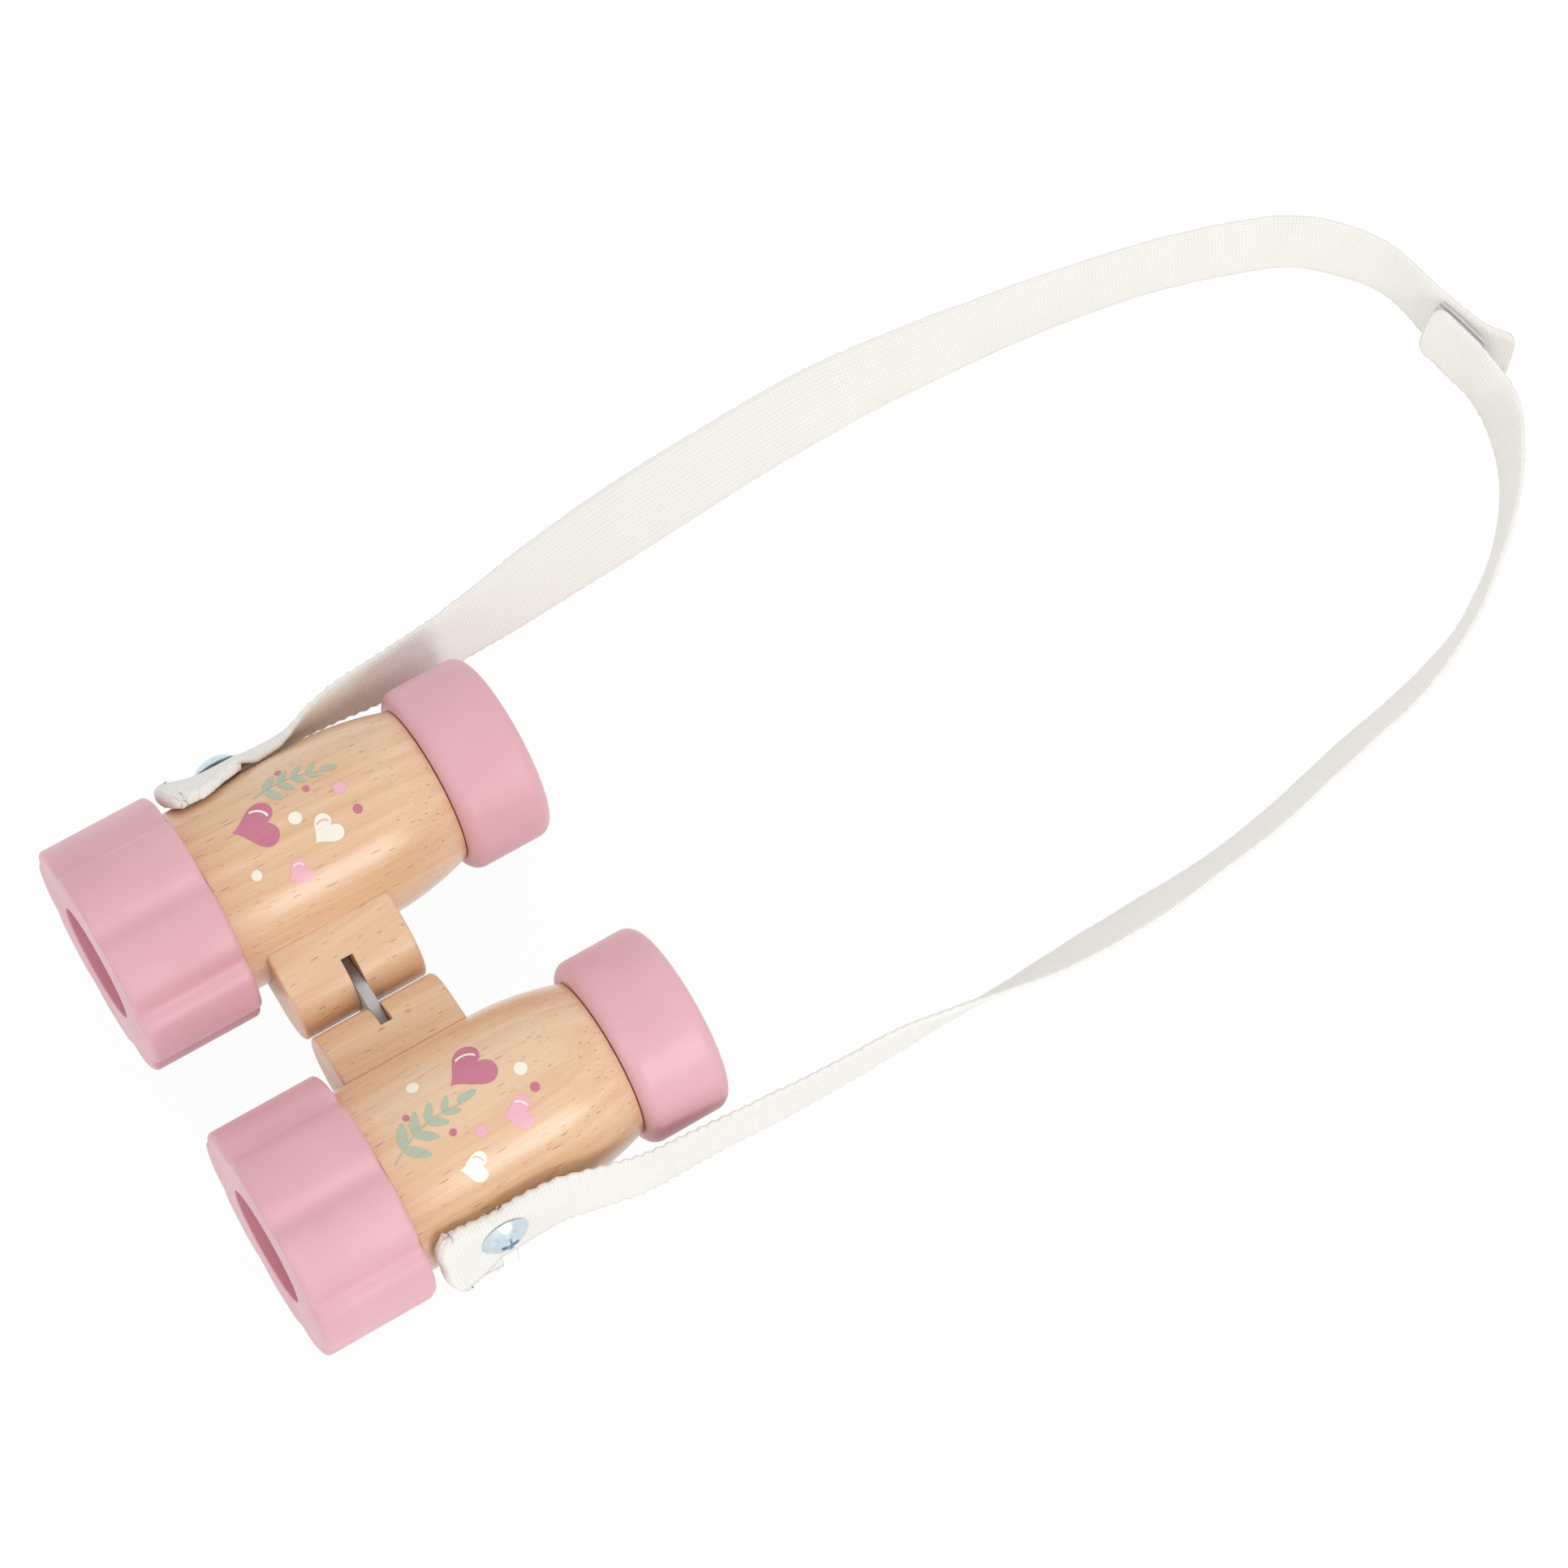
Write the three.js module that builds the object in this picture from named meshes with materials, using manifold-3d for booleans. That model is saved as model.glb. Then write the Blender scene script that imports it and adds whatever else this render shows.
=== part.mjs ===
// Wooden toy binoculars with scalloped front rings, a double hinge and a cotton neck strap.
// Millimetres, +Z up. The objective ends face -Y and the eyepieces +Y.
// The pair lies on z = 0, with the origin under the middle of its box without the strap.
// "left" and "right" are the user's, so the left barrel is on +X.

import * as THREE from 'three';
import { mergeVertices } from 'three/addons/utils/BufferGeometryUtils.js';
import Module from 'manifold-3d';

const wasm = await Module();
wasm.setup();

// Overall
const TOTAL_LENGTH = 95;

// Clearances
const SEAT_GAP = 0.3;
const HOLE_CLEARANCE = 0.25;
const LAYER_GAP = 0.35;

// Scalloped objective rings
const OBJECTIVE_LENGTH = 24.6;
const OBJECTIVE_LOBE_RADIUS = 25;
const OBJECTIVE_VALLEY_RADIUS = 22.6;
const OBJECTIVE_LOBES = 8;
const OBJECTIVE_LOBE_PHASE = 11;
const OBJECTIVE_EDGE = 2;
const OBJECTIVE_BORE_RADIUS = 12.5;
const OBJECTIVE_LIP = 9.5;
const OBJECTIVE_MOUTH_EDGE = 0.35;
const FRONT_SOCKET_RADIUS = 15.6;

// Turned barrels
const BARREL_RADIUS = 20.2;
const BARREL_STRAIGHT = 32;
const BARREL_NECK_RADIUS = 17;
const BARREL_BORE_RADIUS = 11;

// Rounded eyepiece rings
const EYEPIECE_LENGTH = 18.7;
const EYEPIECE_RADIUS = 20.5;
const EYEPIECE_EDGE = 3;
const EYEPIECE_BORE_RADIUS = 10;
const EYEPIECE_LIP = 7.5;
const EYEPIECE_MOUTH_EDGE = 1.2;
const REAR_SOCKET_RADIUS = 14;

// Clear lens discs
const LENS_RIM = 1.6;
const LENS_CROWN = 0.7;

// Hinge blocks, pins and link
const BLOCK_FRONT = 28.9;
const BLOCK_LENGTH = 27.9;
const BLOCK_THICKNESS = 19.4;
const BLOCK_EDGE = 0.7;
const KNUCKLE_GAP = 1.4;
const HINGE_ARM = 24.8;
const HINGE_SAG = 9;
const PIN_RADIUS = 1.25;
const PIN_LENGTH = 23;
const PIN_RECESS = 1.2;
const LINK_END_RADIUS = 3.3;
const LINK_SHOULDER = 3.6;
const LINK_CROWN = 6.8;
const LINK_THICKNESS = 2.3;
const SLOT_CLEARANCE = 0.22;
const SLOT_CUTTER_RADIUS = 12.9;

// Dowels that fasten the blocks to the barrels
const DOWEL_RADIUS = 2;
const DOWEL_HEIGHT = 5;
const DOWEL_SPACING = 17;
const DOWEL_IN_BARREL = 5;
const DOWEL_IN_BLOCK = 8;

// Strap, its screws and its hook-and-loop closure
const STRAP_WIDTH = 16;
const STRAP_THICKNESS = 1.3;
const TAB_FOLD = 27.6;
const TAB_UNDER_END = 47;
const TAB_TOP_END = 54;
const SCREW_Y = 40.5;
const SCREW_HEAD_RADIUS = 5.2;
const SCREW_HEAD_HEIGHT = 2.5;
const SCREW_SHANK_RADIUS = 1.6;
const SCREW_BITE = 5.6;
const RECESS_WIDTH = 1.3;
const RECESS_SPAN = 5;
const RECESS_DEPTH = 1.3;
const PATCH_THICKNESS = 0.9;
const PATCH_WIDTH = 14;
const END_FLARE = [0, 0, 0, 0.8, 2.8];

// Strap routes past the tabs: x, y, height of the band's middle, lean of its top edge outward.
// They are the loop's lie on the table, chosen point by point.
const RIGHT_ROUTE = [
  [-58.8, 29.0, 22.6, 5],
  [-62.1, 51.0, 18.4, 17],
  [-66.6, 75.0, 13.2, 38],
  [-70.8, 102.0, 8.6, 54],
  [-72.5, 125.0, 7.0, 49],
  [-73.0, 147.0, 6.6, 45],
  [-71.3, 167.0, 7.2, 33],
  [-68.0, 191.0, 7.9, 22],
  [-62.6, 220.0, 8.2, 15],
  [-56.5, 240.3, 8.2, 14],
  [-50.0, 254.6, 8.3, 12],
  [-42.4, 262.6, 8.3, 11],
  [-36.2, 266.9, 8.3, 9],
  [-29.6, 269.3, 8.3, 7],
  [-23.4, 270.3, 8.3, 7],
];
const LEFT_ROUTE = [
  [59.9, 24.0, 21.2, -6],
  [59.9, 43.0, 17.0, -2],
  [60.2, 63.5, 13.4, 1],
  [60.5, 82.5, 10.8, 4],
  [61.4, 101.5, 9.0, 10],
  [62.8, 122.0, 8.4, 4],
  [62.7, 141.0, 8.3, -1],
  [61.8, 160.5, 8.3, 2],
  [59.2, 179.0, 8.3, 0],
  [55.3, 198.5, 8.3, -2],
  [51.5, 216.5, 8.3, -2],
  [45.5, 233.2, 8.3, 3],
  [38.1, 245.5, 8.4, 9],
  [29.8, 255.6, 8.4, 8],
  [20.5, 263.2, 8.3, 10],
  [11.0, 268.3, 8.3, 15],
  [5.0, 269.8, 8.3, 14],
];
const JOINT_ROUTE = [
  [-17.4, 269.2, 8.5, 11],
  [-13.0, 270.2, 8.5, 11],
  [-8.6, 270.9, 8.5, 11],
  [-4.2, 271.5, 8.5, 11],
  [-0.4, 271.8, 8.5, 11],
];

// Values that follow from the sizes
const DEG = Math.PI / 180;
const sag = HINGE_SAG * DEG;
const knuckleRadius = BLOCK_THICKNESS / 2;
const pinHalf = knuckleRadius + KNUCKLE_GAP / 2;
const axisHalf = pinHalf + HINGE_ARM * Math.cos(sag);
const linkDrop = HINGE_ARM * Math.sin(sag);
const blockMid = BLOCK_FRONT + BLOCK_LENGTH / 2;
const eyepieceFront = TOTAL_LENGTH - EYEPIECE_LENGTH;
const slotWidth = LINK_THICKNESS + 2 * SLOT_CLEARANCE;
const slotReach = LINK_END_RADIUS + SLOT_CLEARANCE + 0.1;
const underLayer = BARREL_RADIUS + SEAT_GAP + STRAP_THICKNESS / 2;
const topLayer = underLayer + STRAP_THICKNESS + LAYER_GAP;
const headSeat = topLayer + STRAP_THICKNESS / 2 + SEAT_GAP;
const patchOffset = SEAT_GAP / 2 + PATCH_THICKNESS / 2;
const bandOffset = SEAT_GAP / 2 + PATCH_THICKNESS + SEAT_GAP + STRAP_THICKNESS / 2;

// Materials
const paint = { color: 0xdda6b3, roughness: 0.45, metalness: 0 };
const beech = { color: 0xe3bf98, roughness: 0.5, metalness: 0 };
const acrylic = { color: 0xeef4f6, roughness: 0.05, metalness: 0, transparent: true, opacity: 0.35 };
const steel = { color: 0x97979b, roughness: 0.4, metalness: 1 };
const zinc = { color: 0xc6d3dc, roughness: 0.25, metalness: 1 };
const cotton = { color: 0xf2efe8, roughness: 0.95, metalness: 0 };
const nylon = { color: 0xe9e6df, roughness: 0.9, metalness: 0 };

// Weld a geometry into a closed mesh whose faces point out
function closed(geometry) {
  const bare = geometry.clone();
  for (const name of Object.keys(bare.attributes)) {
    if (name !== 'position') bare.deleteAttribute(name);
  }
  const welded = mergeVertices(bare, 1e-3);
  const source = welded.index.array;
  const place = welded.attributes.position;
  const kept = [];
  let volume = 0;
  const a = new THREE.Vector3();
  const b = new THREE.Vector3();
  const c = new THREE.Vector3();
  for (let i = 0; i < source.length; i += 3) {
    const [p, q, r] = [source[i], source[i + 1], source[i + 2]];
    if (p === q || q === r || r === p) continue;
    kept.push(p, q, r);
    a.fromBufferAttribute(place, p);
    b.fromBufferAttribute(place, q);
    c.fromBufferAttribute(place, r);
    volume += a.dot(b.cross(c));
  }
  if (volume < 0) {
    for (let i = 0; i < kept.length; i += 3) {
      [kept[i + 1], kept[i + 2]] = [kept[i + 2], kept[i + 1]];
    }
  }
  welded.setIndex(kept);
  return welded;
}

function solid(geometry) {
  const mesh = closed(geometry);
  const vertProperties = new Float32Array(mesh.attributes.position.array);
  const triVerts = new Uint32Array(mesh.index.array);
  return new wasm.Manifold(new wasm.Mesh({ numProp: 3, vertProperties, triVerts }));
}

function geometryOf(body) {
  const mesh = body.getMesh();
  const geometry = new THREE.BufferGeometry();
  geometry.setAttribute('position', new THREE.BufferAttribute(new Float32Array(mesh.vertProperties), 3));
  geometry.setIndex(Array.from(mesh.triVerts));
  geometry.computeVertexNormals();
  return geometry;
}

function cut(geometry, ...tools) {
  let body = solid(geometry);
  for (const tool of tools) body = body.subtract(solid(tool));
  return geometryOf(body);
}

function piece(name, geometry, looks) {
  const ready = geometry.index ? geometry : closed(geometry);
  ready.computeVertexNormals();
  const mesh = new THREE.Mesh(ready, new THREE.MeshStandardMaterial(looks));
  mesh.name = name;
  return mesh;
}

// A profile of [radius, y] points turned about the barrel axis
function turned(profile, sides) {
  const points = profile.map(([r, y]) => new THREE.Vector2(r, y));
  points.push(points[0].clone());
  return closed(new THREE.LatheGeometry(points, sides));
}

// Points of a quarter round from one tangent point to the other about its centre
function quarterRound(cx, cy, radius, from, to, steps) {
  const points = [];
  for (let i = 0; i <= steps; i += 1) {
    const angle = (from + ((to - from) * i) / steps) * DEG;
    points.push([cx + radius * Math.cos(angle), cy + radius * Math.sin(angle)]);
  }
  return points;
}

// A round rod along Y or along X
function rodY(radius, from, to, x, z, sides = 24) {
  const rod = new THREE.CylinderGeometry(radius, radius, to - from, sides);
  rod.translate(x, (from + to) / 2, z);
  return closed(rod);
}

function rodX(radius, from, to, y, z, sides = 24) {
  const rod = new THREE.CylinderGeometry(radius, radius, Math.abs(to - from), sides);
  rod.rotateZ(Math.PI / 2);
  rod.translate((from + to) / 2, y, z);
  return closed(rod);
}

// A flat shape in x and z, extruded along y from one place to another
function extrudedAlongY(shape, from, to, edge, curveSegments = 12) {
  const geometry = new THREE.ExtrudeGeometry(shape, {
    depth: to - from - 2 * edge,
    curveSegments,
    bevelEnabled: edge > 0,
    bevelThickness: edge,
    bevelSize: edge,
    bevelOffset: -edge,
    bevelSegments: 2,
  });
  geometry.rotateX(Math.PI / 2);
  geometry.translate(0, to - edge, 0);
  return closed(geometry);
}

// Objective ring: eight soft lobes round a stepped bore
function scallop(angle) {
  const pitch = 360 / OBJECTIVE_LOBES;
  const offset = ((((angle - OBJECTIVE_LOBE_PHASE) % pitch) + pitch) % pitch) / pitch;
  const swell = Math.sin(Math.PI * offset);
  return OBJECTIVE_VALLEY_RADIUS + (OBJECTIVE_LOBE_RADIUS - OBJECTIVE_VALLEY_RADIUS) * swell;
}

function objectiveRing() {
  const outline = [];
  const steps = OBJECTIVE_LOBES * 9;
  for (let i = 0; i < steps; i += 1) {
    const angle = OBJECTIVE_LOBE_PHASE + (360 * i) / steps;
    const r = scallop(angle);
    outline.push(new THREE.Vector2(r * Math.sin(angle * DEG), r * Math.cos(angle * DEG)));
  }
  const ring = extrudedAlongY(new THREE.Shape(outline), 0, OBJECTIVE_LENGTH, OBJECTIVE_EDGE);
  const edge = OBJECTIVE_MOUTH_EDGE;
  const bore = turned([
    [0, -1],
    [OBJECTIVE_BORE_RADIUS + edge, -1],
    ...quarterRound(OBJECTIVE_BORE_RADIUS + edge, edge, edge, 270, 180, 2),
    [OBJECTIVE_BORE_RADIUS, OBJECTIVE_LIP],
    [FRONT_SOCKET_RADIUS, OBJECTIVE_LIP],
    [FRONT_SOCKET_RADIUS, OBJECTIVE_LENGTH + 1],
    [0, OBJECTIVE_LENGTH + 1],
  ], 40);
  return cut(ring, bore);
}

// Eyepiece ring: rounded outside edges and a stepped bore
function eyepieceRing() {
  const front = eyepieceFront;
  const back = TOTAL_LENGTH;
  const edge = EYEPIECE_EDGE;
  const mouth = EYEPIECE_MOUTH_EDGE;
  const lip = back - EYEPIECE_LIP;
  return turned([
    [REAR_SOCKET_RADIUS, front],
    ...quarterRound(EYEPIECE_RADIUS - edge, front + edge, edge, 270, 360, 3),
    ...quarterRound(EYEPIECE_RADIUS - edge, back - edge, edge, 0, 90, 3),
    ...quarterRound(EYEPIECE_BORE_RADIUS + mouth, back - mouth, mouth, 90, 180, 2),
    [EYEPIECE_BORE_RADIUS, lip],
    [REAR_SOCKET_RADIUS, lip],
  ], 48);
}

// Lens disc with a slight crown on both faces, in the seat before its spigot
function lens(radius, from) {
  const to = from + LENS_RIM;
  return turned([
    [0, from - LENS_CROWN],
    [radius * 0.55, from - LENS_CROWN * 0.7],
    [radius - 1.8, from],
    [radius, from],
    [radius, to],
    [radius - 1.8, to],
    [radius * 0.55, to + LENS_CROWN * 0.7],
    [0, to + LENS_CROWN],
  ], 24);
}

const frontLensAt = OBJECTIVE_LIP + SEAT_GAP;
const frontSpigotAt = frontLensAt + LENS_RIM + SEAT_GAP;
const rearLensAt = TOTAL_LENGTH - EYEPIECE_LIP - SEAT_GAP - LENS_RIM;
const rearSpigotAt = rearLensAt - SEAT_GAP;

// Barrel: spigots at both ends, a straight body and a swelling taper to the neck
function barrel(side) {
  const bodyFront = OBJECTIVE_LENGTH + SEAT_GAP;
  const bodyBack = eyepieceFront - SEAT_GAP;
  const bend = OBJECTIVE_LENGTH + BARREL_STRAIGHT;
  const taper = [];
  for (let i = 0; i <= 6; i += 1) {
    const along = i / 6;
    const y = bend + (bodyBack - bend) * along;
    taper.push([BARREL_RADIUS - (BARREL_RADIUS - BARREL_NECK_RADIUS) * along * along, y]);
  }
  const body = turned([
    [BARREL_BORE_RADIUS, frontSpigotAt],
    [FRONT_SOCKET_RADIUS - SEAT_GAP, frontSpigotAt],
    [FRONT_SOCKET_RADIUS - SEAT_GAP, bodyFront],
    [BARREL_RADIUS, bodyFront],
    ...taper,
    [REAR_SOCKET_RADIUS - SEAT_GAP, bodyBack],
    [REAR_SOCKET_RADIUS - SEAT_GAP, rearSpigotAt],
    [BARREL_BORE_RADIUS, rearSpigotAt],
  ], 48);
  return cut(body, ...dowelHoles(side), screwHole(side));
}

// Dowels run along x, one above and one below the pin
const dowelSeat = Math.sqrt(BARREL_RADIUS ** 2 - DOWEL_HEIGHT ** 2);

function dowelPlaces() {
  return [
    [blockMid - DOWEL_SPACING / 2, DOWEL_HEIGHT],
    [blockMid + DOWEL_SPACING / 2, -DOWEL_HEIGHT],
  ];
}

function dowel(side, [y, z], spare) {
  const from = -side * (dowelSeat - DOWEL_IN_BARREL - spare);
  const to = -side * (dowelSeat + DOWEL_IN_BLOCK + spare);
  return rodX(DOWEL_RADIUS + spare, Math.min(from, to), Math.max(from, to), y, z, 16);
}

function dowelHoles(side) {
  return dowelPlaces().map((place) => dowel(side, place, HOLE_CLEARANCE));
}

// Screw pilot hole, opposite the hinge block
function screwHole(side) {
  const from = BARREL_RADIUS - SCREW_BITE - HOLE_CLEARANCE;
  const to = BARREL_RADIUS + 1;
  const radius = SCREW_SHANK_RADIUS + HOLE_CLEARANCE;
  return rodX(radius, side > 0 ? from : -to, side > 0 ? to : -from, SCREW_Y, 0, 16);
}

// Hinge block: full-round knuckle, saddle on the barrel, cutter slot for the link
function hingeBlock(side) {
  const pin = -side * HINGE_ARM;
  const inner = -side * BARREL_RADIUS * 0.7;
  const outline = new THREE.Shape();
  outline.moveTo(inner, -knuckleRadius);
  outline.lineTo(pin, -knuckleRadius);
  outline.absarc(pin, 0, knuckleRadius, -Math.PI / 2, Math.PI / 2, side > 0);
  outline.lineTo(inner, knuckleRadius);
  outline.closePath();
  const block = extrudedAlongY(outline, BLOCK_FRONT, BLOCK_FRONT + BLOCK_LENGTH, BLOCK_EDGE, 14);
  const saddle = rodY(BARREL_RADIUS + SEAT_GAP, BLOCK_FRONT - 2, BLOCK_FRONT + BLOCK_LENGTH + 2, 0, 0, 96);
  const middle = pin - side * (SLOT_CUTTER_RADIUS - slotReach);
  const past = pin - side * (knuckleRadius + SLOT_CUTTER_RADIUS);
  const track = new THREE.Shape();
  track.moveTo(past, -SLOT_CUTTER_RADIUS);
  track.lineTo(middle, -SLOT_CUTTER_RADIUS);
  track.absarc(middle, 0, SLOT_CUTTER_RADIUS, -Math.PI / 2, Math.PI / 2, side < 0);
  track.lineTo(past, SLOT_CUTTER_RADIUS);
  track.closePath();
  const slot = extrudedAlongY(track, blockMid - slotWidth / 2, blockMid + slotWidth / 2, 0, 16);
  const rear = BLOCK_FRONT + BLOCK_LENGTH;
  const bore = rodY(PIN_RADIUS + HOLE_CLEARANCE, pinFront() - HOLE_CLEARANCE, rear + 1, pin, 0, 16);
  return cut(block, saddle, slot, bore, ...dowelHoles(side));
}

function pinFront() {
  return BLOCK_FRONT + BLOCK_LENGTH - PIN_RECESS - PIN_LENGTH;
}

function hingePin(side) {
  return rodY(PIN_RADIUS, pinFront(), pinFront() + PIN_LENGTH, -side * HINGE_ARM, 0, 16);
}

// Link plate: round ends about both pins and a crown on both sides between them
function hingeLink() {
  const steps = 10;
  const outline = [];
  const arcs = [[pinHalf, -60], [-pinHalf, 120]];
  for (const [x, start] of arcs) {
    for (let i = 0; i <= steps; i += 1) {
      const angle = (start + (120 * i) / steps) * DEG;
      outline.push(new THREE.Vector2(x + LINK_END_RADIUS * Math.cos(angle), LINK_END_RADIUS * Math.sin(angle)));
    }
    const side = x > 0 ? 1 : -1;
    for (const share of [1, 0.8, 0.6, 0.4, 0.2, 0, -0.2, -0.4, -0.6, -0.8, -1]) {
      const rise = 0.5 + 0.5 * Math.cos(share * Math.PI);
      const height = LINK_SHOULDER + (LINK_CROWN - LINK_SHOULDER) * rise;
      outline.push(new THREE.Vector2(side * share * pinHalf, side * height));
    }
  }
  const plate = extrudedAlongY(new THREE.Shape(outline), -LINK_THICKNESS / 2, LINK_THICKNESS / 2, 0.3);
  const eyes = [pinHalf, -pinHalf].map((x) => (
    rodY(PIN_RADIUS + HOLE_CLEARANCE, -LINK_THICKNESS, LINK_THICKNESS, x, 0, 16)
  ));
  return cut(plate, ...eyes);
}

// Strap screw: low dome with a cross recess
function strapScrew(side) {
  const rise = SCREW_HEAD_HEIGHT;
  const crown = (SCREW_HEAD_RADIUS ** 2 + rise ** 2) / (2 * rise);
  const half = Math.asin(SCREW_HEAD_RADIUS / crown) / DEG;
  const dome = quarterRound(0, headSeat + rise - crown, crown, 90 - half, 90, 5);
  dome[dome.length - 1][0] = 0;
  const tip = BARREL_RADIUS - SCREW_BITE;
  const profile = [
    [0, tip],
    [SCREW_SHANK_RADIUS * 0.5, tip],
    [SCREW_SHANK_RADIUS, tip + 1.2],
    [SCREW_SHANK_RADIUS, headSeat],
    ...dome,
  ];
  const screw = closed(new THREE.LatheGeometry(profile.map(([r, y]) => new THREE.Vector2(r, y)), 24));
  const floor = headSeat + rise - RECESS_DEPTH;
  const bars = [[RECESS_SPAN, RECESS_WIDTH], [RECESS_WIDTH, RECESS_SPAN]].map(([w, d]) => {
    const bar = new THREE.BoxGeometry(w, RECESS_DEPTH * 2, d);
    bar.translate(0, floor + RECESS_DEPTH, 0);
    return bar;
  });
  const done = cut(screw, ...bars);
  done.rotateZ(-side * Math.PI / 2);
  done.translate(0, SCREW_Y, 0);
  return done;
}

// A band of rectangular section through frames of { at, across, out }
function bandThrough(frames, width, thickness) {
  const positions = [];
  const index = [];
  for (const { at, across, out } of frames) {
    for (const [u, v] of [[-1, -1], [1, -1], [1, 1], [-1, 1]]) {
      const corner = at.clone();
      corner.addScaledVector(across, (u * width) / 2);
      corner.addScaledVector(out, (v * thickness) / 2);
      positions.push(corner.x, corner.y, corner.z);
    }
  }
  for (let i = 0; i + 1 < frames.length; i += 1) {
    for (let k = 0; k < 4; k += 1) {
      const a = i * 4 + k;
      const b = i * 4 + ((k + 1) % 4);
      index.push(a, b, b + 4, a, b + 4, a + 4);
    }
  }
  const last = (frames.length - 1) * 4;
  index.push(0, 2, 1, 0, 3, 2, last, last + 1, last + 2, last, last + 2, last + 3);
  const geometry = new THREE.BufferGeometry();
  geometry.setAttribute('position', new THREE.Float32BufferAttribute(positions, 3));
  geometry.setIndex(index);
  return closed(geometry);
}

// Frames along a smooth line through points of [x, y, z, lean]. The band's face looks outward,
// to the right of the way from a barrel on +X (side 1) and to the left from one on -X (side -1).
function framesAlong(points, steps, side, offset = 0) {
  const curve = new THREE.CatmullRomCurve3(points.map(([x, y, z]) => new THREE.Vector3(x, y, z)), false, 'centripetal');
  const frames = [];
  for (let i = 0; i <= steps; i += 1) {
    const t = i / steps;
    const at = curve.getPoint(t);
    const along = curve.getTangent(t);
    const spot = t * (points.length - 1);
    const near = Math.min(Math.floor(spot), points.length - 2);
    const lean = (points[near][3] + (points[near + 1][3] - points[near][3]) * (spot - near)) * DEG;
    const outward = new THREE.Vector3(along.y, -along.x, 0).normalize().multiplyScalar(side);
    const up = outward.clone().cross(along).normalize();
    if (up.z < 0) up.negate();
    const across = up.clone().multiplyScalar(Math.cos(lean)).addScaledVector(outward, Math.sin(lean));
    const out = outward.clone().multiplyScalar(Math.cos(lean)).addScaledVector(up, -Math.sin(lean));
    frames.push({ at: at.addScaledVector(out, offset), across, out });
  }
  return frames;
}

// Joint points of the closure, moved square to the band. The outer end springs away by its flare.
function jointPoints(offset, flare = END_FLARE.map(() => 0)) {
  return framesAlong(JOINT_ROUTE, JOINT_ROUTE.length - 1, -1, offset).map(({ at, out }, i) => {
    at.x += out.x * flare[i];
    at.y += out.y * flare[i];
    return [at.x, at.y, at.z, JOINT_ROUTE[i][3]];
  });
}

// One half of the strap: folded tab under the screw, free run and closure end
function strapHalf(side, matrix) {
  const turn = new THREE.Matrix3().setFromMatrix4(matrix);
  const local = (radius, y) => new THREE.Vector3(side * radius, y, 0).applyMatrix4(matrix);
  const across = new THREE.Vector3(0, 0, 1).applyMatrix3(turn).normalize();
  const outTop = new THREE.Vector3(side, 0, 0).applyMatrix3(turn).normalize();
  const back = new THREE.Vector3(0, -1, 0).applyMatrix3(turn).normalize();
  const middle = (underLayer + topLayer) / 2;
  const swing = (topLayer - underLayer) / 2;
  const tab = [
    { at: local(underLayer, TAB_UNDER_END), across, out: outTop.clone().negate() },
    { at: local(underLayer, TAB_FOLD + swing), across, out: outTop.clone().negate() },
  ];
  for (const angle of [-54, -18, 18, 54]) {
    const out = outTop.clone().multiplyScalar(Math.sin(angle * DEG)).addScaledVector(back, Math.cos(angle * DEG));
    const at = local(middle, TAB_FOLD + swing).addScaledVector(out, swing);
    tab.push({ at, across, out });
  }
  tab.push({ at: local(topLayer, TAB_FOLD + swing), across, out: outTop });
  const start = local(topLayer, TAB_UNDER_END);
  const leave = local(topLayer, TAB_TOP_END);
  const lean = -HINGE_SAG;
  const closure = side > 0 ? jointPoints(-bandOffset).reverse() : jointPoints(bandOffset, END_FLARE);
  const points = [
    [start.x, start.y, start.z, lean],
    [leave.x, leave.y, leave.z, lean],
    ...(side > 0 ? LEFT_ROUTE : RIGHT_ROUTE),
    ...closure,
  ];
  const frames = [...tab, ...framesAlong(points, 3 * (points.length - 1), side)];
  const band = bandThrough(frames, STRAP_WIDTH, STRAP_THICKNESS);
  const holeRadius = SCREW_SHANK_RADIUS + HOLE_CLEARANCE;
  const from = BARREL_RADIUS - 1;
  const to = headSeat + 1;
  const hole = rodX(holeRadius, side > 0 ? from : -to, side > 0 ? to : -from, SCREW_Y, 0, 12);
  hole.applyMatrix4(matrix);
  return cut(band, hole);
}

function closurePatch(offset) {
  return bandThrough(framesAlong(jointPoints(offset).slice(0, 4), 6, -1), PATCH_WIDTH, PATCH_THICKNESS);
}

// Lie of the pair: both ring pairs touch the table at the back edges of their rims
function lowestLobe() {
  let low = 0;
  for (let angle = 0; angle < 360; angle += 0.5) low = Math.max(low, -scallop(angle) * Math.cos(angle * DEG));
  return low;
}

const reach = TOTAL_LENGTH - EYEPIECE_EDGE - (OBJECTIVE_LENGTH - OBJECTIVE_EDGE);
const tilt = Math.atan2(lowestLobe() - EYEPIECE_RADIUS, reach);

const toy = new THREE.Group();
const pair = new THREE.Group();
pair.rotation.x = -tilt;
toy.add(pair);

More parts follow.
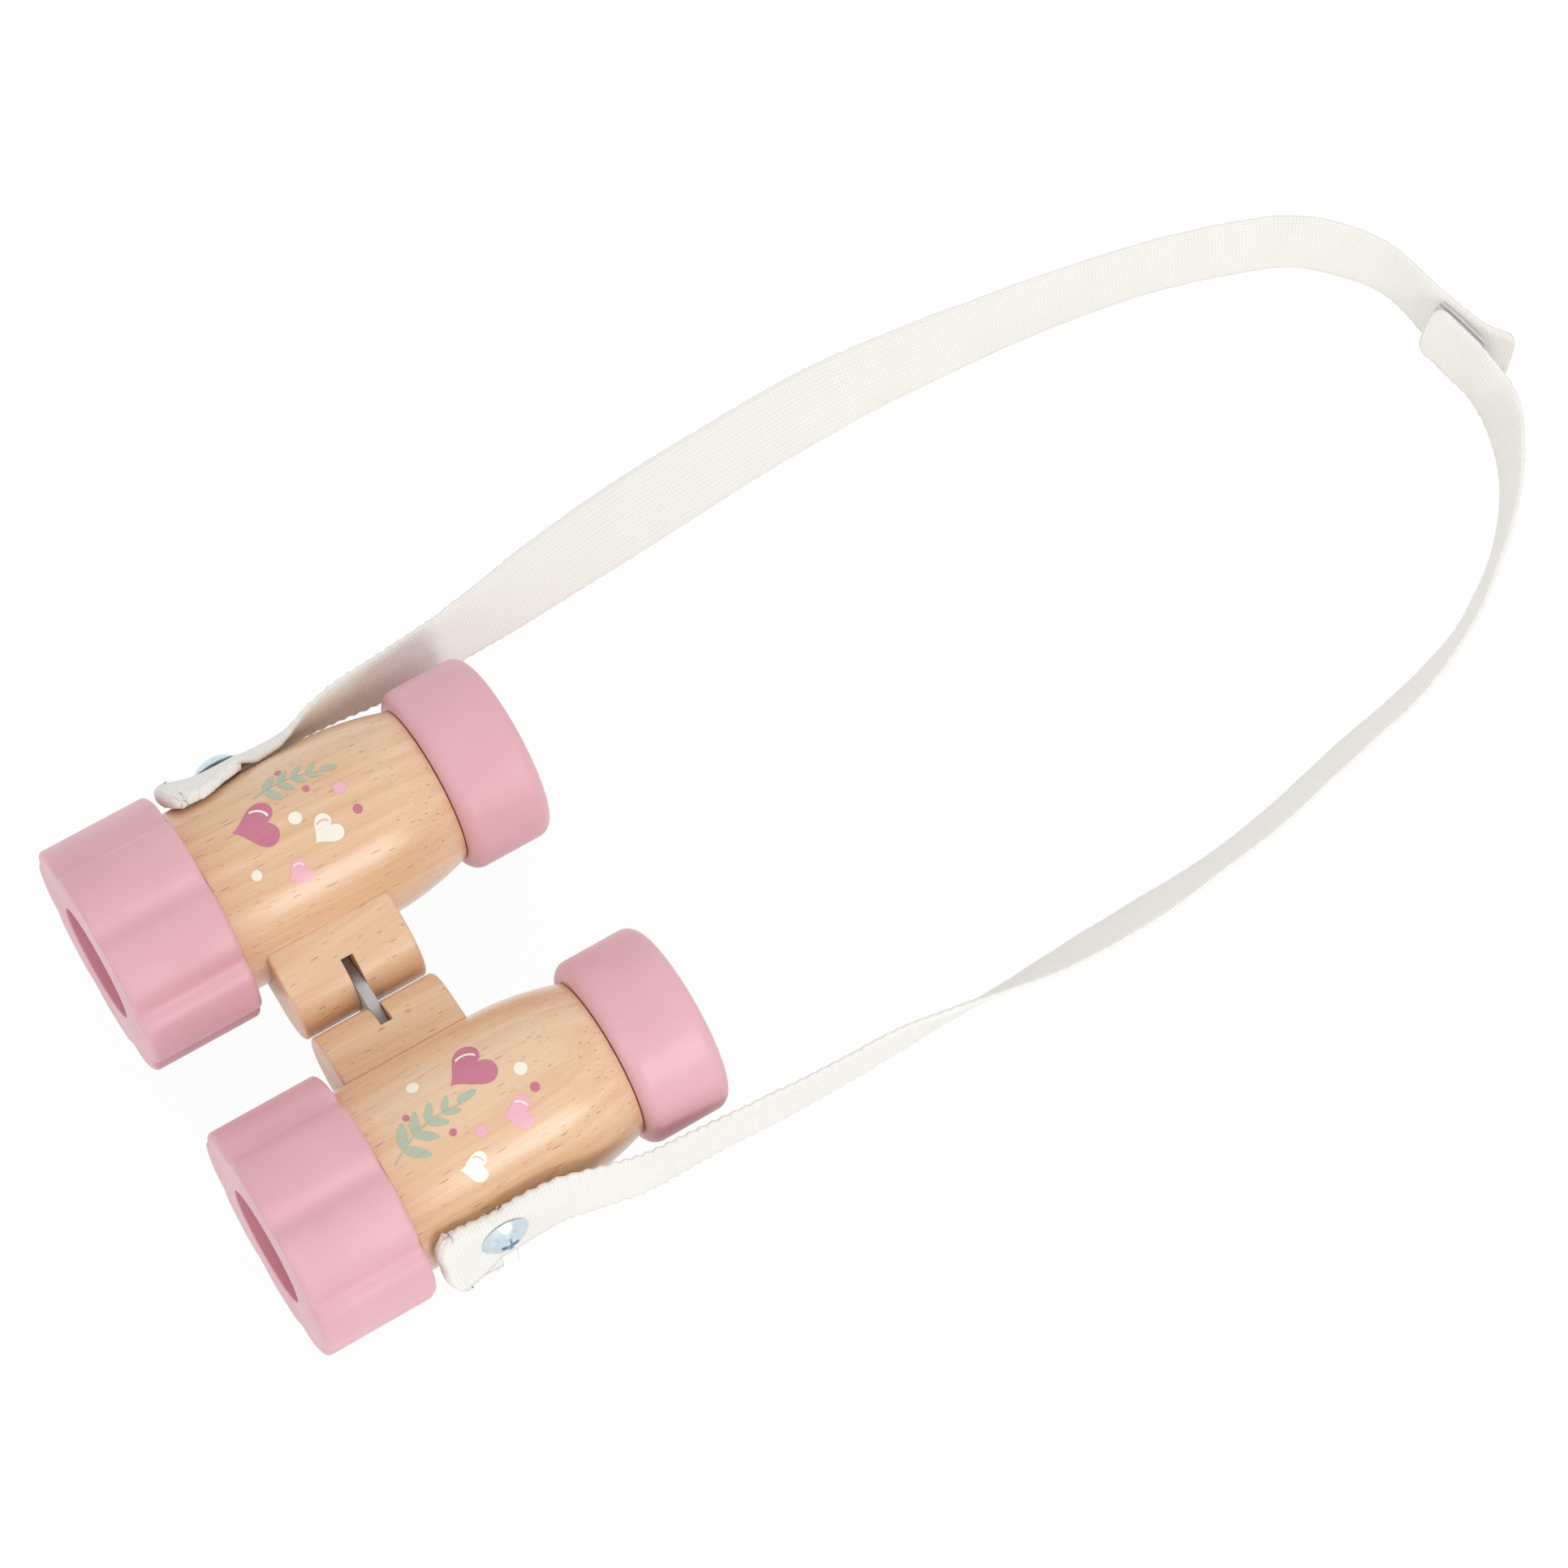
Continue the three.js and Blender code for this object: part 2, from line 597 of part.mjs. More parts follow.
const halves = {};
for (const [word, side] of [['left', 1], ['right', -1]]) {
  const half = new THREE.Group();
  half.position.set(side * axisHalf, 0, 0);
  pair.add(half);
  halves[word] = new THREE.Group();
  halves[word].rotation.y = -side * sag;
  half.add(halves[word]);
  half.add(piece(`${word}_objective_ring`, objectiveRing(), paint));
  const rolled = halves[word];
  rolled.add(piece(`${word}_barrel`, barrel(side), beech));
  rolled.add(piece(`${word}_eyepiece_ring`, eyepieceRing(), paint));
  rolled.add(piece(`${word}_objective_lens`, lens(FRONT_SOCKET_RADIUS - SEAT_GAP, frontLensAt), acrylic));
  rolled.add(piece(`${word}_eyepiece_lens`, lens(REAR_SOCKET_RADIUS - SEAT_GAP, rearLensAt), acrylic));
  rolled.add(piece(`${word}_hinge_block`, hingeBlock(side), beech));
  rolled.add(piece(`${word}_hinge_pin`, hingePin(side), steel));
  const [front, rear] = dowelPlaces();
  rolled.add(piece(`${word}_front_dowel`, dowel(side, front, 0), beech));
  rolled.add(piece(`${word}_rear_dowel`, dowel(side, rear, 0), beech));
  rolled.add(piece(`${word}_strap_screw`, strapScrew(side), zinc));
}

const link = piece('hinge_link', hingeLink(), steel);
link.position.set(0, blockMid, -linkDrop);
pair.add(link);

// Stand the pair on the table, centred over the origin
toy.updateMatrixWorld(true);
const box = new THREE.Box3().setFromObject(toy, true);
pair.position.set(-(box.min.x + box.max.x) / 2, -(box.min.y + box.max.y) / 2, -box.min.z);
toy.updateMatrixWorld(true);

// The strap lies on the table, so it is built in the part's own frame
toy.add(piece('left_strap', strapHalf(1, halves.left.matrixWorld), cotton));
toy.add(piece('right_strap', strapHalf(-1, halves.right.matrixWorld), cotton));
toy.add(piece('strap_hook_patch', closurePatch(-patchOffset), nylon));
toy.add(piece('strap_loop_patch', closurePatch(patchOffset), nylon));

export default toy;
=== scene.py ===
"""Wooden toy binoculars: the dressed pieces on their CAD frame, laid out as an add-on and run as a script."""

import math
import random

import bmesh
import bpy
from bpy.props import FloatProperty, FloatVectorProperty, PointerProperty
from mathutils import Matrix, Vector, noise


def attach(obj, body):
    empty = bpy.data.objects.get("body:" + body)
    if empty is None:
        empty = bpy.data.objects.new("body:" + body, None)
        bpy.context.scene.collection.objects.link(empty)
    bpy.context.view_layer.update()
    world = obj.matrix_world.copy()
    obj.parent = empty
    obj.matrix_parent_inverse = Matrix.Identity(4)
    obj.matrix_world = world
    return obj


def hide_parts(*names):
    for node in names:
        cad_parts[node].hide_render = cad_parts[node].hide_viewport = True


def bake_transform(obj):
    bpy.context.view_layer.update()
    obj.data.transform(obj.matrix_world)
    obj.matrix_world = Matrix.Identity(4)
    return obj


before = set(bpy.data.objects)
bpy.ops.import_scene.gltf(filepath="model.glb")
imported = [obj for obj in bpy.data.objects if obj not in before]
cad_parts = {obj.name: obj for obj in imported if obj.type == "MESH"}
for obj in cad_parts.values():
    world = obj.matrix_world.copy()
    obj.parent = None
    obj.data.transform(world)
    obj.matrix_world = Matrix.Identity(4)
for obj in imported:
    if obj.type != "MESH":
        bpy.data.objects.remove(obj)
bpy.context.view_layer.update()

bl_info = {
    "name": "Wooden Toy Binoculars",
    "version": (1, 0, 0),
    "blender": (4, 5, 0),
    "location": "View3D > Sidebar > Binoculars",
    "description": "Turned beech barrels, painted rings, a double hinge and a cotton neck strap",
    "category": "Add Mesh",
}

MM = 0.001
HALVES = (("left", 1), ("right", -1))
LOBES = 8
# Points of a mesh that lie nearer than this are one
MERGE = 1e-7
# Play round a lens disc and round a hinge pin, and how far a bore's paint reaches past its wall
LENS_PLAY = 0.3 * MM
PIN_PLAY = 0.2 * MM
BORE_MARGIN = 0.3 * MM
# Play of a block on its barrel, play behind a pin's end, and how far a cutter reaches past its block
SADDLE_PLAY = 0.06 * MM
PIN_END_PLAY = 0.25 * MM
CUT_PAST = 2 * MM
# Flat land round a lens disc's crown, easing of the link's edges, and how deep a screw goes into the barrel
LENS_LAND = 1.8 * MM
LINK_EDGE = 0.3 * MM
SCREW_DEPTH = 5.6 * MM
# Steps of a full turn for the lobed rings, the barrels, the discs, the screws and the pin holes
LOBED_STEPS = 192
BARREL_STEPS = 144
DISC_STEPS = 96
SCREW_STEPS = 72
HOLE_STEPS = 40

# Strap routes past the tabs in millimetres: x, y, height of the band's middle, outward lean of its top edge
RIGHT_ROUTE = (
    (-57.8, 13.0, 25.4, -13),
    (-58.6, 21.0, 24.2, -6),
    (-59.4, 30.0, 22.6, 2),
    (-62.1, 51.0, 18.4, 17),
    (-66.6, 75.0, 13.2, 38),
    (-70.8, 102.0, 8.6, 54),
    (-72.5, 125.0, 7.0, 49),
    (-73.0, 147.0, 6.6, 45),
    (-71.3, 167.0, 7.2, 33),
    (-68.0, 191.0, 7.9, 22),
    (-62.6, 220.0, 8.2, 15),
    (-56.5, 240.3, 8.2, 14),
    (-50.0, 254.6, 8.3, 12),
    (-42.4, 262.6, 8.3, 11),
    (-36.2, 266.9, 8.3, 9),
    (-29.6, 269.3, 8.3, 7),
    (-23.4, 270.3, 8.3, 7),
)
LEFT_ROUTE = (
    (59.9, 24.0, 21.2, -6),
    (59.9, 43.0, 17.0, -2),
    (60.2, 63.5, 13.4, 1),
    (60.5, 82.5, 10.8, 4),
    (61.4, 101.5, 8.9, 16),
    (62.4, 122.3, 7.1, 32),
    (62.2, 141.5, 6.7, 37),
    (61.4, 160.9, 7.1, 31),
    (58.8, 179.4, 7.2, 29),
    (54.9, 198.9, 7.2, 29),
    (51.2, 216.8, 7.4, 26),
    (45.4, 233.4, 7.9, 15),
    (38.1, 245.5, 8.4, 9),
    (29.8, 255.6, 8.4, 8),
    (20.5, 263.2, 8.3, 10),
    (11.0, 268.3, 8.3, 15),
    (5.0, 269.8, 8.3, 14),
)
JOINT_ROUTE = (
    (-17.4, 269.2, 8.5, 11),
    (-13.0, 270.2, 8.5, 11),
    (-8.6, 270.9, 8.5, 11),
    (-4.2, 271.5, 8.5, 11),
    (-0.4, 271.8, 8.5, 11),
)
# How far the outer end springs away at each of those points
END_FLARE = (0, 0, 0.5, 2.2, 4.6)


def screen(value):
    """A screen value from 0 to 255 as the linear value that shaders mix."""
    share = value / 255
    return share / 12.92 if share <= 0.04045 else ((share + 0.055) / 1.055) ** 2.4


def length(name, description, millimetres):
    """A length property, written in millimetres."""
    return FloatProperty(
        name=name, description=description, default=millimetres * MM, unit="LENGTH", precision=4, min=0.0
    )


def turn(name, description, degrees):
    """An angle property, written in degrees."""
    return FloatProperty(
        name=name, description=description, default=math.radians(degrees), unit="ROTATION", subtype="ANGLE"
    )


def tint(name, description, red, green, blue):
    """A colour property, written in screen values."""
    return FloatVectorProperty(
        name=name,
        description=description,
        default=(screen(red), screen(green), screen(blue)),
        subtype="COLOR",
        size=3,
        min=0.0,
        max=1.0,
    )


class BinocularSizes(bpy.types.PropertyGroup):
    """Sizes of the hard pieces: those of the CAD model, but for the finer lobes and the thicker link"""

    total_length: length("Total length", "From the objective faces to the eyepiece faces", 95)
    axis_half: length("Axis offset", "From the middle plane to a barrel's axis", 34.8947)
    pair_back: length("Front offset", "How far the objective faces lie before the origin", 47.2577)
    pair_height: length("Axis height", "Height of the barrel axes at the objective faces", 26.0093)
    pair_tilt: turn("Tilt", "Fall of the barrel axes towards the eyepieces", 3.46083)
    hinge_sag: turn("Hinge sag", "Roll of each half about its barrel as the pair lies on a table", 9)
    joint_gap: length("Joint line", "Dark line left between glued pieces", 0.26)
    objective_length: length("Objective length", "Length of a scalloped ring", 24.6)
    lobe_radius: length("Lobe radius", "Radius over the lobes of a scalloped ring", 25)
    valley_radius: length("Valley radius", "Radius in the valleys of a scalloped ring", 23.1)
    groove_width: length("Groove width", "Half width of the soft groove between two lobes", 2.8)
    lobe_phase: turn("Lobe phase", "First valley, from the top towards +X", 12.5)
    objective_edge: length("Objective edge", "Rounding of a scalloped ring's rims", 1.3)
    objective_bore: length("Objective bore", "Radius of the bore in a scalloped ring", 12.5)
    objective_lip: length("Objective lip", "Depth of that bore", 9.5)
    objective_mouth: length("Objective mouth", "Rounding of that bore's edge", 0.35)
    front_socket: length("Front socket", "Radius of the socket for the barrel's spigot", 15.6)
    barrel_radius: length("Barrel radius", "Radius of the straight part of a barrel", 20.2)
    barrel_straight: length("Straight length", "Length of the straight part of a barrel", 32)
    neck_radius: length("Neck radius", "Radius of a barrel at its eyepiece ring", 17)
    barrel_bore: length("Barrel bore", "Radius of the hole through a barrel", 11)
    eyepiece_length: length("Eyepiece length", "Length of an eyepiece ring", 18.7)
    eyepiece_radius: length("Eyepiece radius", "Radius of an eyepiece ring", 20.5)
    eyepiece_edge: length("Eyepiece edge", "Rounding of an eyepiece ring's rims", 3)
    eyepiece_bore: length("Eyepiece bore", "Radius of the bore in an eyepiece ring", 10)
    eyepiece_lip: length("Eyepiece lip", "Depth of that bore", 7.5)
    eyepiece_mouth: length("Eyepiece mouth", "Rounding of that bore's edge", 1.2)
    rear_socket: length("Rear socket", "Radius of the socket for the barrel's rear spigot", 14)
    lens_rim: length("Lens rim", "Thickness of a lens disc at its rim", 1.6)
    lens_crown: length("Lens crown", "Swell of a lens disc on each face", 0.7)
    block_front: length("Block front", "From the objective face to a hinge block", 28.9)
    block_length: length("Block length", "Length of a hinge block along the barrel", 27.9)
    block_thickness: length("Block thickness", "Thickness of a hinge block and its round knuckle", 19.4)
    block_edge: length("Block edge", "Easing of a hinge block's end edges", 0.7)
    hinge_arm: length("Hinge arm", "From a barrel's axis to its pin", 24.8)
    pin_half: length("Pin offset", "From the middle plane to a pin", 10.4)
    link_drop: length("Link drop", "How far the sagging link lies below the barrel axes", 3.8796)
    pin_radius: length("Pin radius", "Radius of a hinge pin", 1.25)
    pin_length: length("Pin length", "Length of a hinge pin", 23)
    pin_recess: length("Pin recess", "Depth of a pin's end in its hole", 1.2)
    link_end: length("Link end", "Radius of the link's round ends", 3.3)
    link_shoulder: length("Link shoulder", "Half height of the link over a pin", 3.6)
    link_crown: length("Link crown", "Half height of the link at its middle", 6.8)
    link_thickness: length("Link thickness", "Thickness of the link plate", 2.5)
    slot_width: length("Slot width", "Width of the slot for the link", 2.74)
    slot_cutter: length("Slot cutter", "Radius of the round floor of that slot", 12.9)
    slot_reach: length("Slot reach", "From a pin to the slot's floor", 3.62)
    screw_place: length("Screw place", "From the objective face to a strap screw", 40.5)
    head_seat: length("Head seat", "From a barrel's axis to the screw head's seat", 23.75)
    head_radius: length("Head radius", "Radius of a strap screw's head", 5.2)
    head_height: length("Head height", "Height of a strap screw's dome", 2.5)
    shank_radius: length("Shank radius", "Radius of a strap screw's shank", 1.6)
    recess_width: length("Recess width", "Width of the cross recess", 1.3)
    recess_span: length("Recess span", "Span of the cross recess", 5)
    recess_depth: length("Recess depth", "Depth of the cross recess", 1.3)


class StrapSizes(bpy.types.PropertyGroup):
    """Sizes of the woven neck strap"""

    width: length("Width", "Width of the webbing", 16)
    thickness: length("Thickness", "Thickness of the webbing", 1.3)
    under_layer: length("Under layer", "From a barrel's axis to the middle of the tab's under layer", 21.15)
    top_layer: length("Top layer", "From a barrel's axis to the middle of the tab's top layer", 22.8)
    tab_fold: length("Tab fold", "From the objective face to the folded end", 27.6)
    tab_under_end: length("Under end", "From the objective face to the cut end of the under layer", 38.8)
    right_under_end: length("Right under end", "The same for the right tab", 44)
    tab_flare: length("Tab flare", "How far the lower half of the folded end stands off", 2.6)
    tab_skew: FloatProperty(
        name="Tab skew", description="Drop of the under layer along its length", default=0.25
    )
    tab_rise: length("Tab rise", "How far the right tab's folded end stands up", 6.4)
    tab_rise_start: length("Rise start", "From the objective face to where that rise begins to fall", 33)
    tab_rise_end: length("Rise end", "From the objective face to where that rise ends", 50)
    tab_puff: length("Tab puff", "Swell of the right tab's folded end", 1.3)
    top_curl: length("Top curl", "How far the right strap's top edge rolls out past its tab", 1.6)
    tab_leave: length("Tab leave", "From the objective face to where the strap leaves the barrel", 54)
    row_step: length("Row step", "Spacing of the mesh rows along the strap", 0.55)
    selvedge_pitch: length("Selvedge pitch", "Spacing of the bumps along the woven edges", 2.6)
    selvedge_height: length("Selvedge height", "Height of those bumps", 0.5)
    yarn_pitch: length("Yarn pitch", "Spacing of the yarns in the weave", 0.95)
    band_offset: length("Band offset", "From the closure's middle to each band", 2.0)
    patch_offset: length("Patch offset", "From the closure's middle to each patch", 0.6)
    patch_width: length("Patch width", "Width of a hook or loop patch", 14)
    patch_thickness: length("Patch thickness", "Thickness of a hook or loop patch", 0.9)


class BinocularColours(bpy.types.PropertyGroup):
    """Colours of the finishes"""

    pink: tint("Pink paint", "Satin paint on the rings", 230, 178, 187)
    pink_deep: tint("Deep pink", "The same paint where it lies thicker", 222, 164, 174)
    # The bore colours are real pink paint, made deeper and more saturated as painted shade and painted pink
    # reflection inside the bores
    bore: tint("Bore paint", "Paint inside the bores", 240, 166, 179)
    bore_shade_deep: tint("Deep bore shade", "The same paint where it lies thicker", 228, 144, 158)
    beech_pale: tint("Pale beech", "Early wood", 239, 204, 168)
    beech_warm: tint("Warm beech", "Late wood", 218, 169, 123)
    beech_fleck: tint("Beech fleck", "Short ray flecks in the grain", 150, 96, 58)
    block_fleck: tint("Block fleck", "Softer flecks of the hinge blocks", 166, 112, 74)
    cotton: tint("Cotton", "Webbing yarns", 248, 246, 240)
    # Cotton shade is painted shade between the yarns, over the one colour of the cotton
    cotton_shade: tint("Cotton shade", "Webbing between its yarns", 233, 228, 219)
    nylon: tint("Nylon", "Hook and loop patches", 238, 232, 233)
    steel: tint("Steel", "Hinge link and pins", 192, 190, 193)
    zinc: tint("Zinc", "Plated strap screws", 214, 227, 236)
    acrylic: tint("Acrylic", "Lens discs", 238, 244, 246)
    rose: tint("Rose ink", "Hearts and berries of the print", 202, 108, 137)
    blush: tint("Blush ink", "Pale hearts of the print", 240, 178, 194)
    cream: tint("Cream ink", "Dots and small hearts of the print", 250, 245, 228)
    sage: tint("Sage ink", "Leaves of the print", 178, 189, 164)


# Placing and finishing pieces


def pair_place(sizes):
    """Place of the pair: both ring pairs rest on the table."""
    move = Matrix.Translation((0, -sizes.pair_back, sizes.pair_height))
    return move @ Matrix.Rotation(-sizes.pair_tilt, 4, "X")


def half_place(sizes, side, rolled=True):
    """Place of one barrel's axis, with the roll that the sagging hinge gives its half."""
    place = pair_place(sizes) @ Matrix.Translation((side * sizes.axis_half, 0, 0))
    if rolled:
        place = place @ Matrix.Rotation(-side * sizes.hinge_sag, 4, "Y")
    return place


def finished(name, bm, place, materials, body, nodes=(), crease=40):
    """Turn a bmesh into a piece at the origin that rides on a body."""
    bmesh.ops.transform(bm, matrix=place, verts=bm.verts)
    mesh = bpy.data.meshes.new(name)
    bm.to_mesh(mesh)
    bm.free()
    for material in materials:
        mesh.materials.append(material)
    mesh.shade_smooth()
    mesh.set_sharp_from_angle(angle=math.radians(crease))
    piece = bpy.data.objects.new(name, mesh)
    bpy.context.scene.collection.objects.link(piece)
    if body:
        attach(piece, body)
    if nodes:
        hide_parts(*nodes)
    return piece


def half_piece(half, name, bm, materials, node=None, crease=40, rolled=True):
    """Finish a piece that is shaped about one barrel's axis and rides on that barrel's half."""
    word, side = half
    place = half_place(bpy.context.scene.binocular_sizes, side, rolled)
    nodes = [f"{word}_{node}"] if node else ()
    return finished(f"{word}_{name}", bm, place, materials, f"{word}_half", nodes, crease)


def arc(centre, radius, start, end, steps):
    """Points of an arc in a flat profile, angles in degrees."""
    points = []
    for i in range(steps + 1):
        angle = math.radians(start + (end - start) * i / steps)
        points.append((centre[0] + radius * math.cos(angle), centre[1] + radius * math.sin(angle)))
    return points


def spun(profile, steps, ring=True):
    """A profile of (radius, y) points spun about the Y axis."""
    bm = bmesh.new()
    verts = [bm.verts.new((r, y, 0)) for r, y in profile]
    pairs = list(zip(verts, verts[1:]))
    if ring:
        pairs.append((verts[-1], verts[0]))
    edges = [bm.edges.new(pair) for pair in pairs]
    bmesh.ops.spin(
        bm, geom=verts + edges, cent=(0, 0, 0), axis=(0, 1, 0), angle=math.tau, steps=steps, use_merge=True
    )
    bmesh.ops.remove_doubles(bm, verts=bm.verts, dist=MERGE)
    bmesh.ops.dissolve_degenerate(bm, dist=MERGE / 10, edges=bm.edges)
    bmesh.ops.recalc_face_normals(bm, faces=bm.faces)
    return bm


def rod(radius, start, end, centre, steps):
    """A cutter rod along Y, from one y to another."""
    bm = bmesh.new()
    bmesh.ops.create_cone(
        bm, cap_ends=True, segments=steps, radius1=radius, radius2=radius, depth=end - start
    )
    move = Matrix.Translation((centre[0], (start + end) / 2, centre[1]))
    bmesh.ops.transform(bm, matrix=move @ Matrix.Rotation(math.pi / 2, 4, "X"), verts=bm.verts)
    return bm


def bar(low, high):
    """A cutter box between two corners."""
    bm = bmesh.new()
    bmesh.ops.create_cube(bm, size=1)
    move = Matrix.Translation((Vector(low) + Vector(high)) / 2)
    spread = Matrix.Diagonal((*(Vector(high) - Vector(low)), 1))
    bmesh.ops.transform(bm, matrix=move @ spread, verts=bm.verts)
    return bm


def loose_object(bm):
    """A bmesh as a short-lived object for a boolean."""
    mesh = bpy.data.meshes.new("cutter")
    bm.to_mesh(mesh)
    bm.free()
    thing = bpy.data.objects.new("cutter", mesh)
    bpy.context.scene.collection.objects.link(thing)
    return thing


def carved(bm, cutters):
    """The bmesh with every cutter taken away."""
    body = loose_object(bm)
    tools = [loose_object(cutter) for cutter in cutters]
    for tool in tools:
        cut = body.modifiers.new("cut", "BOOLEAN")
        cut.operation = "DIFFERENCE"
        cut.solver = "EXACT"
        cut.object = tool
    bpy.context.view_layer.update()
    ready = body.evaluated_get(bpy.context.evaluated_depsgraph_get())
    result = bmesh.new()
    result.from_mesh(ready.to_mesh())
    ready.to_mesh_clear()
    for thing in [body, *tools]:
        mesh = thing.data
        bpy.data.objects.remove(thing)
        bpy.data.meshes.remove(mesh)
    bmesh.ops.remove_doubles(result, verts=result.verts, dist=MERGE)
    if not result.faces:
        raise RuntimeError("a cut left nothing of its piece")
    bmesh.ops.recalc_face_normals(result, faces=result.faces)
    return result


def thickened(bm, depth, ease, steps):
    """Grow a flat outline along Y and ease the edges of both its ends."""
    grown = bmesh.ops.extrude_face_region(bm, geom=bm.faces[:])
    moved = [item for item in grown["geom"] if isinstance(item, bmesh.types.BMVert)]
    bmesh.ops.translate(bm, vec=(0, depth, 0), verts=moved)
    bmesh.ops.recalc_face_normals(bm, faces=bm.faces)
    rims = [edge for edge in bm.edges if abs(edge.verts[0].co.y - edge.verts[1].co.y) < MERGE]
    bmesh.ops.bevel(
        bm,
        geom=rims,
        offset=ease,
        offset_type="OFFSET",
        affect="EDGES",
        segments=steps,
        profile=0.5,
        material=-1,
    )
    return bm


def smooth_step(low, high, value):
    """Zero below low, one above high, and smooth between."""
    share = min(max((value - low) / (high - low), 0.0), 1.0)
    return share * share * (3 - 2 * share)


def barrel_radius_at(sizes, y):
    """Radius of a barrel's outside at a place along it."""
    bend = sizes.objective_length + sizes.barrel_straight
    back = sizes.total_length - sizes.eyepiece_length
    share = max((y - bend) / (back - bend), 0.0)
    return sizes.barrel_radius - (sizes.barrel_radius - sizes.neck_radius) * share ** 2


# Materials


class Wiring:
    """Adds nodes to one tree and joins them."""

    def __init__(self, tree):
        self.tree = tree

    def add(self, kind, sockets=None, **settings):
        made = self.tree.nodes.new(kind)
        for name, value in settings.items():
            setattr(made, name, value)
        for name, value in (sockets or {}).items():
            self.put(made.inputs[name], value)
        return made

    def put(self, socket, value):
        if isinstance(value, bpy.types.NodeSocket):
            self.tree.links.new(value, socket)
        else:
            socket.default_value = value

    def math(self, operation, first, second=0.0, third=0.0):
        made = self.add("ShaderNodeMath", {0: first, 1: second, 2: third}, operation=operation)
        return made.outputs[0]

    def vector(self, operation, first, second):
        made = self.add("ShaderNodeVectorMath", {0: first, 1: second}, operation=operation)
        return made.outputs[0]

    def span(self, value, low, high, to_low, to_high, smooth=True):
        made = self.add(
            "ShaderNodeMapRange",
            {"Value": value, "From Min": low, "From Max": high, "To Min": to_low, "To Max": to_high},
            interpolation_type="SMOOTHSTEP" if smooth else "LINEAR",
        )
        return made.outputs[0]

    def blend(self, share, first, second, kind="MIX"):
        made = self.add("ShaderNodeMix", {0: share, 6: first, 7: second}, data_type="RGBA", blend_type=kind)
        return made.outputs[2]

    def noise(self, vector, scale, detail=3.0, roughness=0.5):
        made = self.add(
            "ShaderNodeTexNoise",
            {"Vector": vector, "Scale": scale, "Detail": detail, "Roughness": roughness},
        )
        return made.outputs["Factor" if "Factor" in made.outputs else "Fac"]

    def place(self):
        return self.add("ShaderNodeTexCoord").outputs["Object"]


def new_group(name, colours, numbers=()):
    """An empty shader node group with named inputs, which puts out colour, height and roughness."""
    tree = bpy.data.node_groups.new(name, "ShaderNodeTree")
    sockets = [("INPUT", "Vector", "Vector")]
    sockets += [("INPUT", label, "Color") for label in colours]
    sockets += [("INPUT", label, "Float") for label in numbers]
    sockets += [("OUTPUT", "Color", "Color"), ("OUTPUT", "Height", "Float"), ("OUTPUT", "Roughness", "Float")]
    for way, label, kind in sockets:
        tree.interface.new_socket(name=label, in_out=way, socket_type=f"NodeSocket{kind}")
    wires = Wiring(tree)
    return tree, wires, wires.add("NodeGroupInput").outputs, wires.add("NodeGroupOutput").inputs


def grain_group():
    """Beech grain along Y: growth bands about a pith, fibres and short ray flecks."""
    name = "Beech Grain"
    if name in bpy.data.node_groups:
        return bpy.data.node_groups[name]
    tree, wires, source, sink = new_group(name, ("Pale", "Warm", "Fleck"), ("Pith X", "Pith Z"))
    place = source["Vector"]
    apart = wires.add("ShaderNodeSeparateXYZ", {0: place}).outputs
    long_grain = wires.vector("MULTIPLY", place, (1, 0.1, 1))
    drift = wires.noise(long_grain, 55.0, 2.0)
    across = wires.math("SUBTRACT", apart["X"], source["Pith X"])
    over = wires.math("SUBTRACT", apart["Z"], source["Pith Z"])
    square = wires.math("ADD", wires.math("MULTIPLY", across, across), wires.math("MULTIPLY", over, over))
    reach = wires.math("SQRT", square)
    reach = wires.math("ADD", reach, wires.math("MULTIPLY", drift, 0.005))
    ring = wires.math("FRACT", wires.math("DIVIDE", reach, 0.0042))
    bands = wires.math("MULTIPLY", ring, wires.span(ring, 0.86, 1.0, 1.0, 0.0))
    broad = wires.noise(long_grain, 90.0, 3.0)
    streak = wires.noise(wires.vector("MULTIPLY", place, (1, 0.03, 1)), 620.0, 3.0, 0.6)
    fibre = wires.noise(wires.vector("MULTIPLY", place, (1, 0.03, 1)), 2600.0, 2.0, 0.6)
    tone = wires.math("ADD", wires.math("MULTIPLY", bands, 0.24), wires.span(broad, 0.3, 0.72, 0.0, 0.5))
    tone = wires.math("ADD", tone, wires.span(streak, 0.3, 0.7, -0.12, 0.24, False))
    tone = wires.math("ADD", tone, wires.span(fibre, 0.3, 0.7, -0.12, 0.16, False))
    colour = wires.blend(tone, source["Pale"], source["Warm"])
    dashes = []
    for wide, long, size, keep in ((0.0008, 0.0105, 0.16, 0.0), (0.0006, 0.0046, 0.16, 0.2)):
        cells = wires.vector("DIVIDE", place, (wide, long, wide))
        cell = wires.add("ShaderNodeTexVoronoi", {"Vector": cells, "Scale": 1.0, "Randomness": 1.0})
        fleck = wires.span(cell.outputs["Distance"], size * 0.55, size, 1.0, 0.0)
        chance = wires.add("ShaderNodeSeparateColor", {0: cell.outputs["Color"]}).outputs[0]
        dashes.append(wires.math("MULTIPLY", fleck, wires.span(chance, keep, 1.0, 0.3, 1.0, False)))
    flecks = wires.math("MAXIMUM", dashes[0], wires.math("MULTIPLY", dashes[1], 0.8))
    colour = wires.blend(wires.math("MULTIPLY", flecks, 0.9), colour, source["Fleck"])
    height = wires.math("SUBTRACT", wires.math("MULTIPLY", fibre, 0.35), flecks)
    wires.put(sink["Color"], colour)
    wires.put(sink["Height"], height)
    wires.put(sink["Roughness"], wires.math("ADD", wires.span(broad, 0.3, 0.7, 0.34, 0.44), flecks))
    return tree


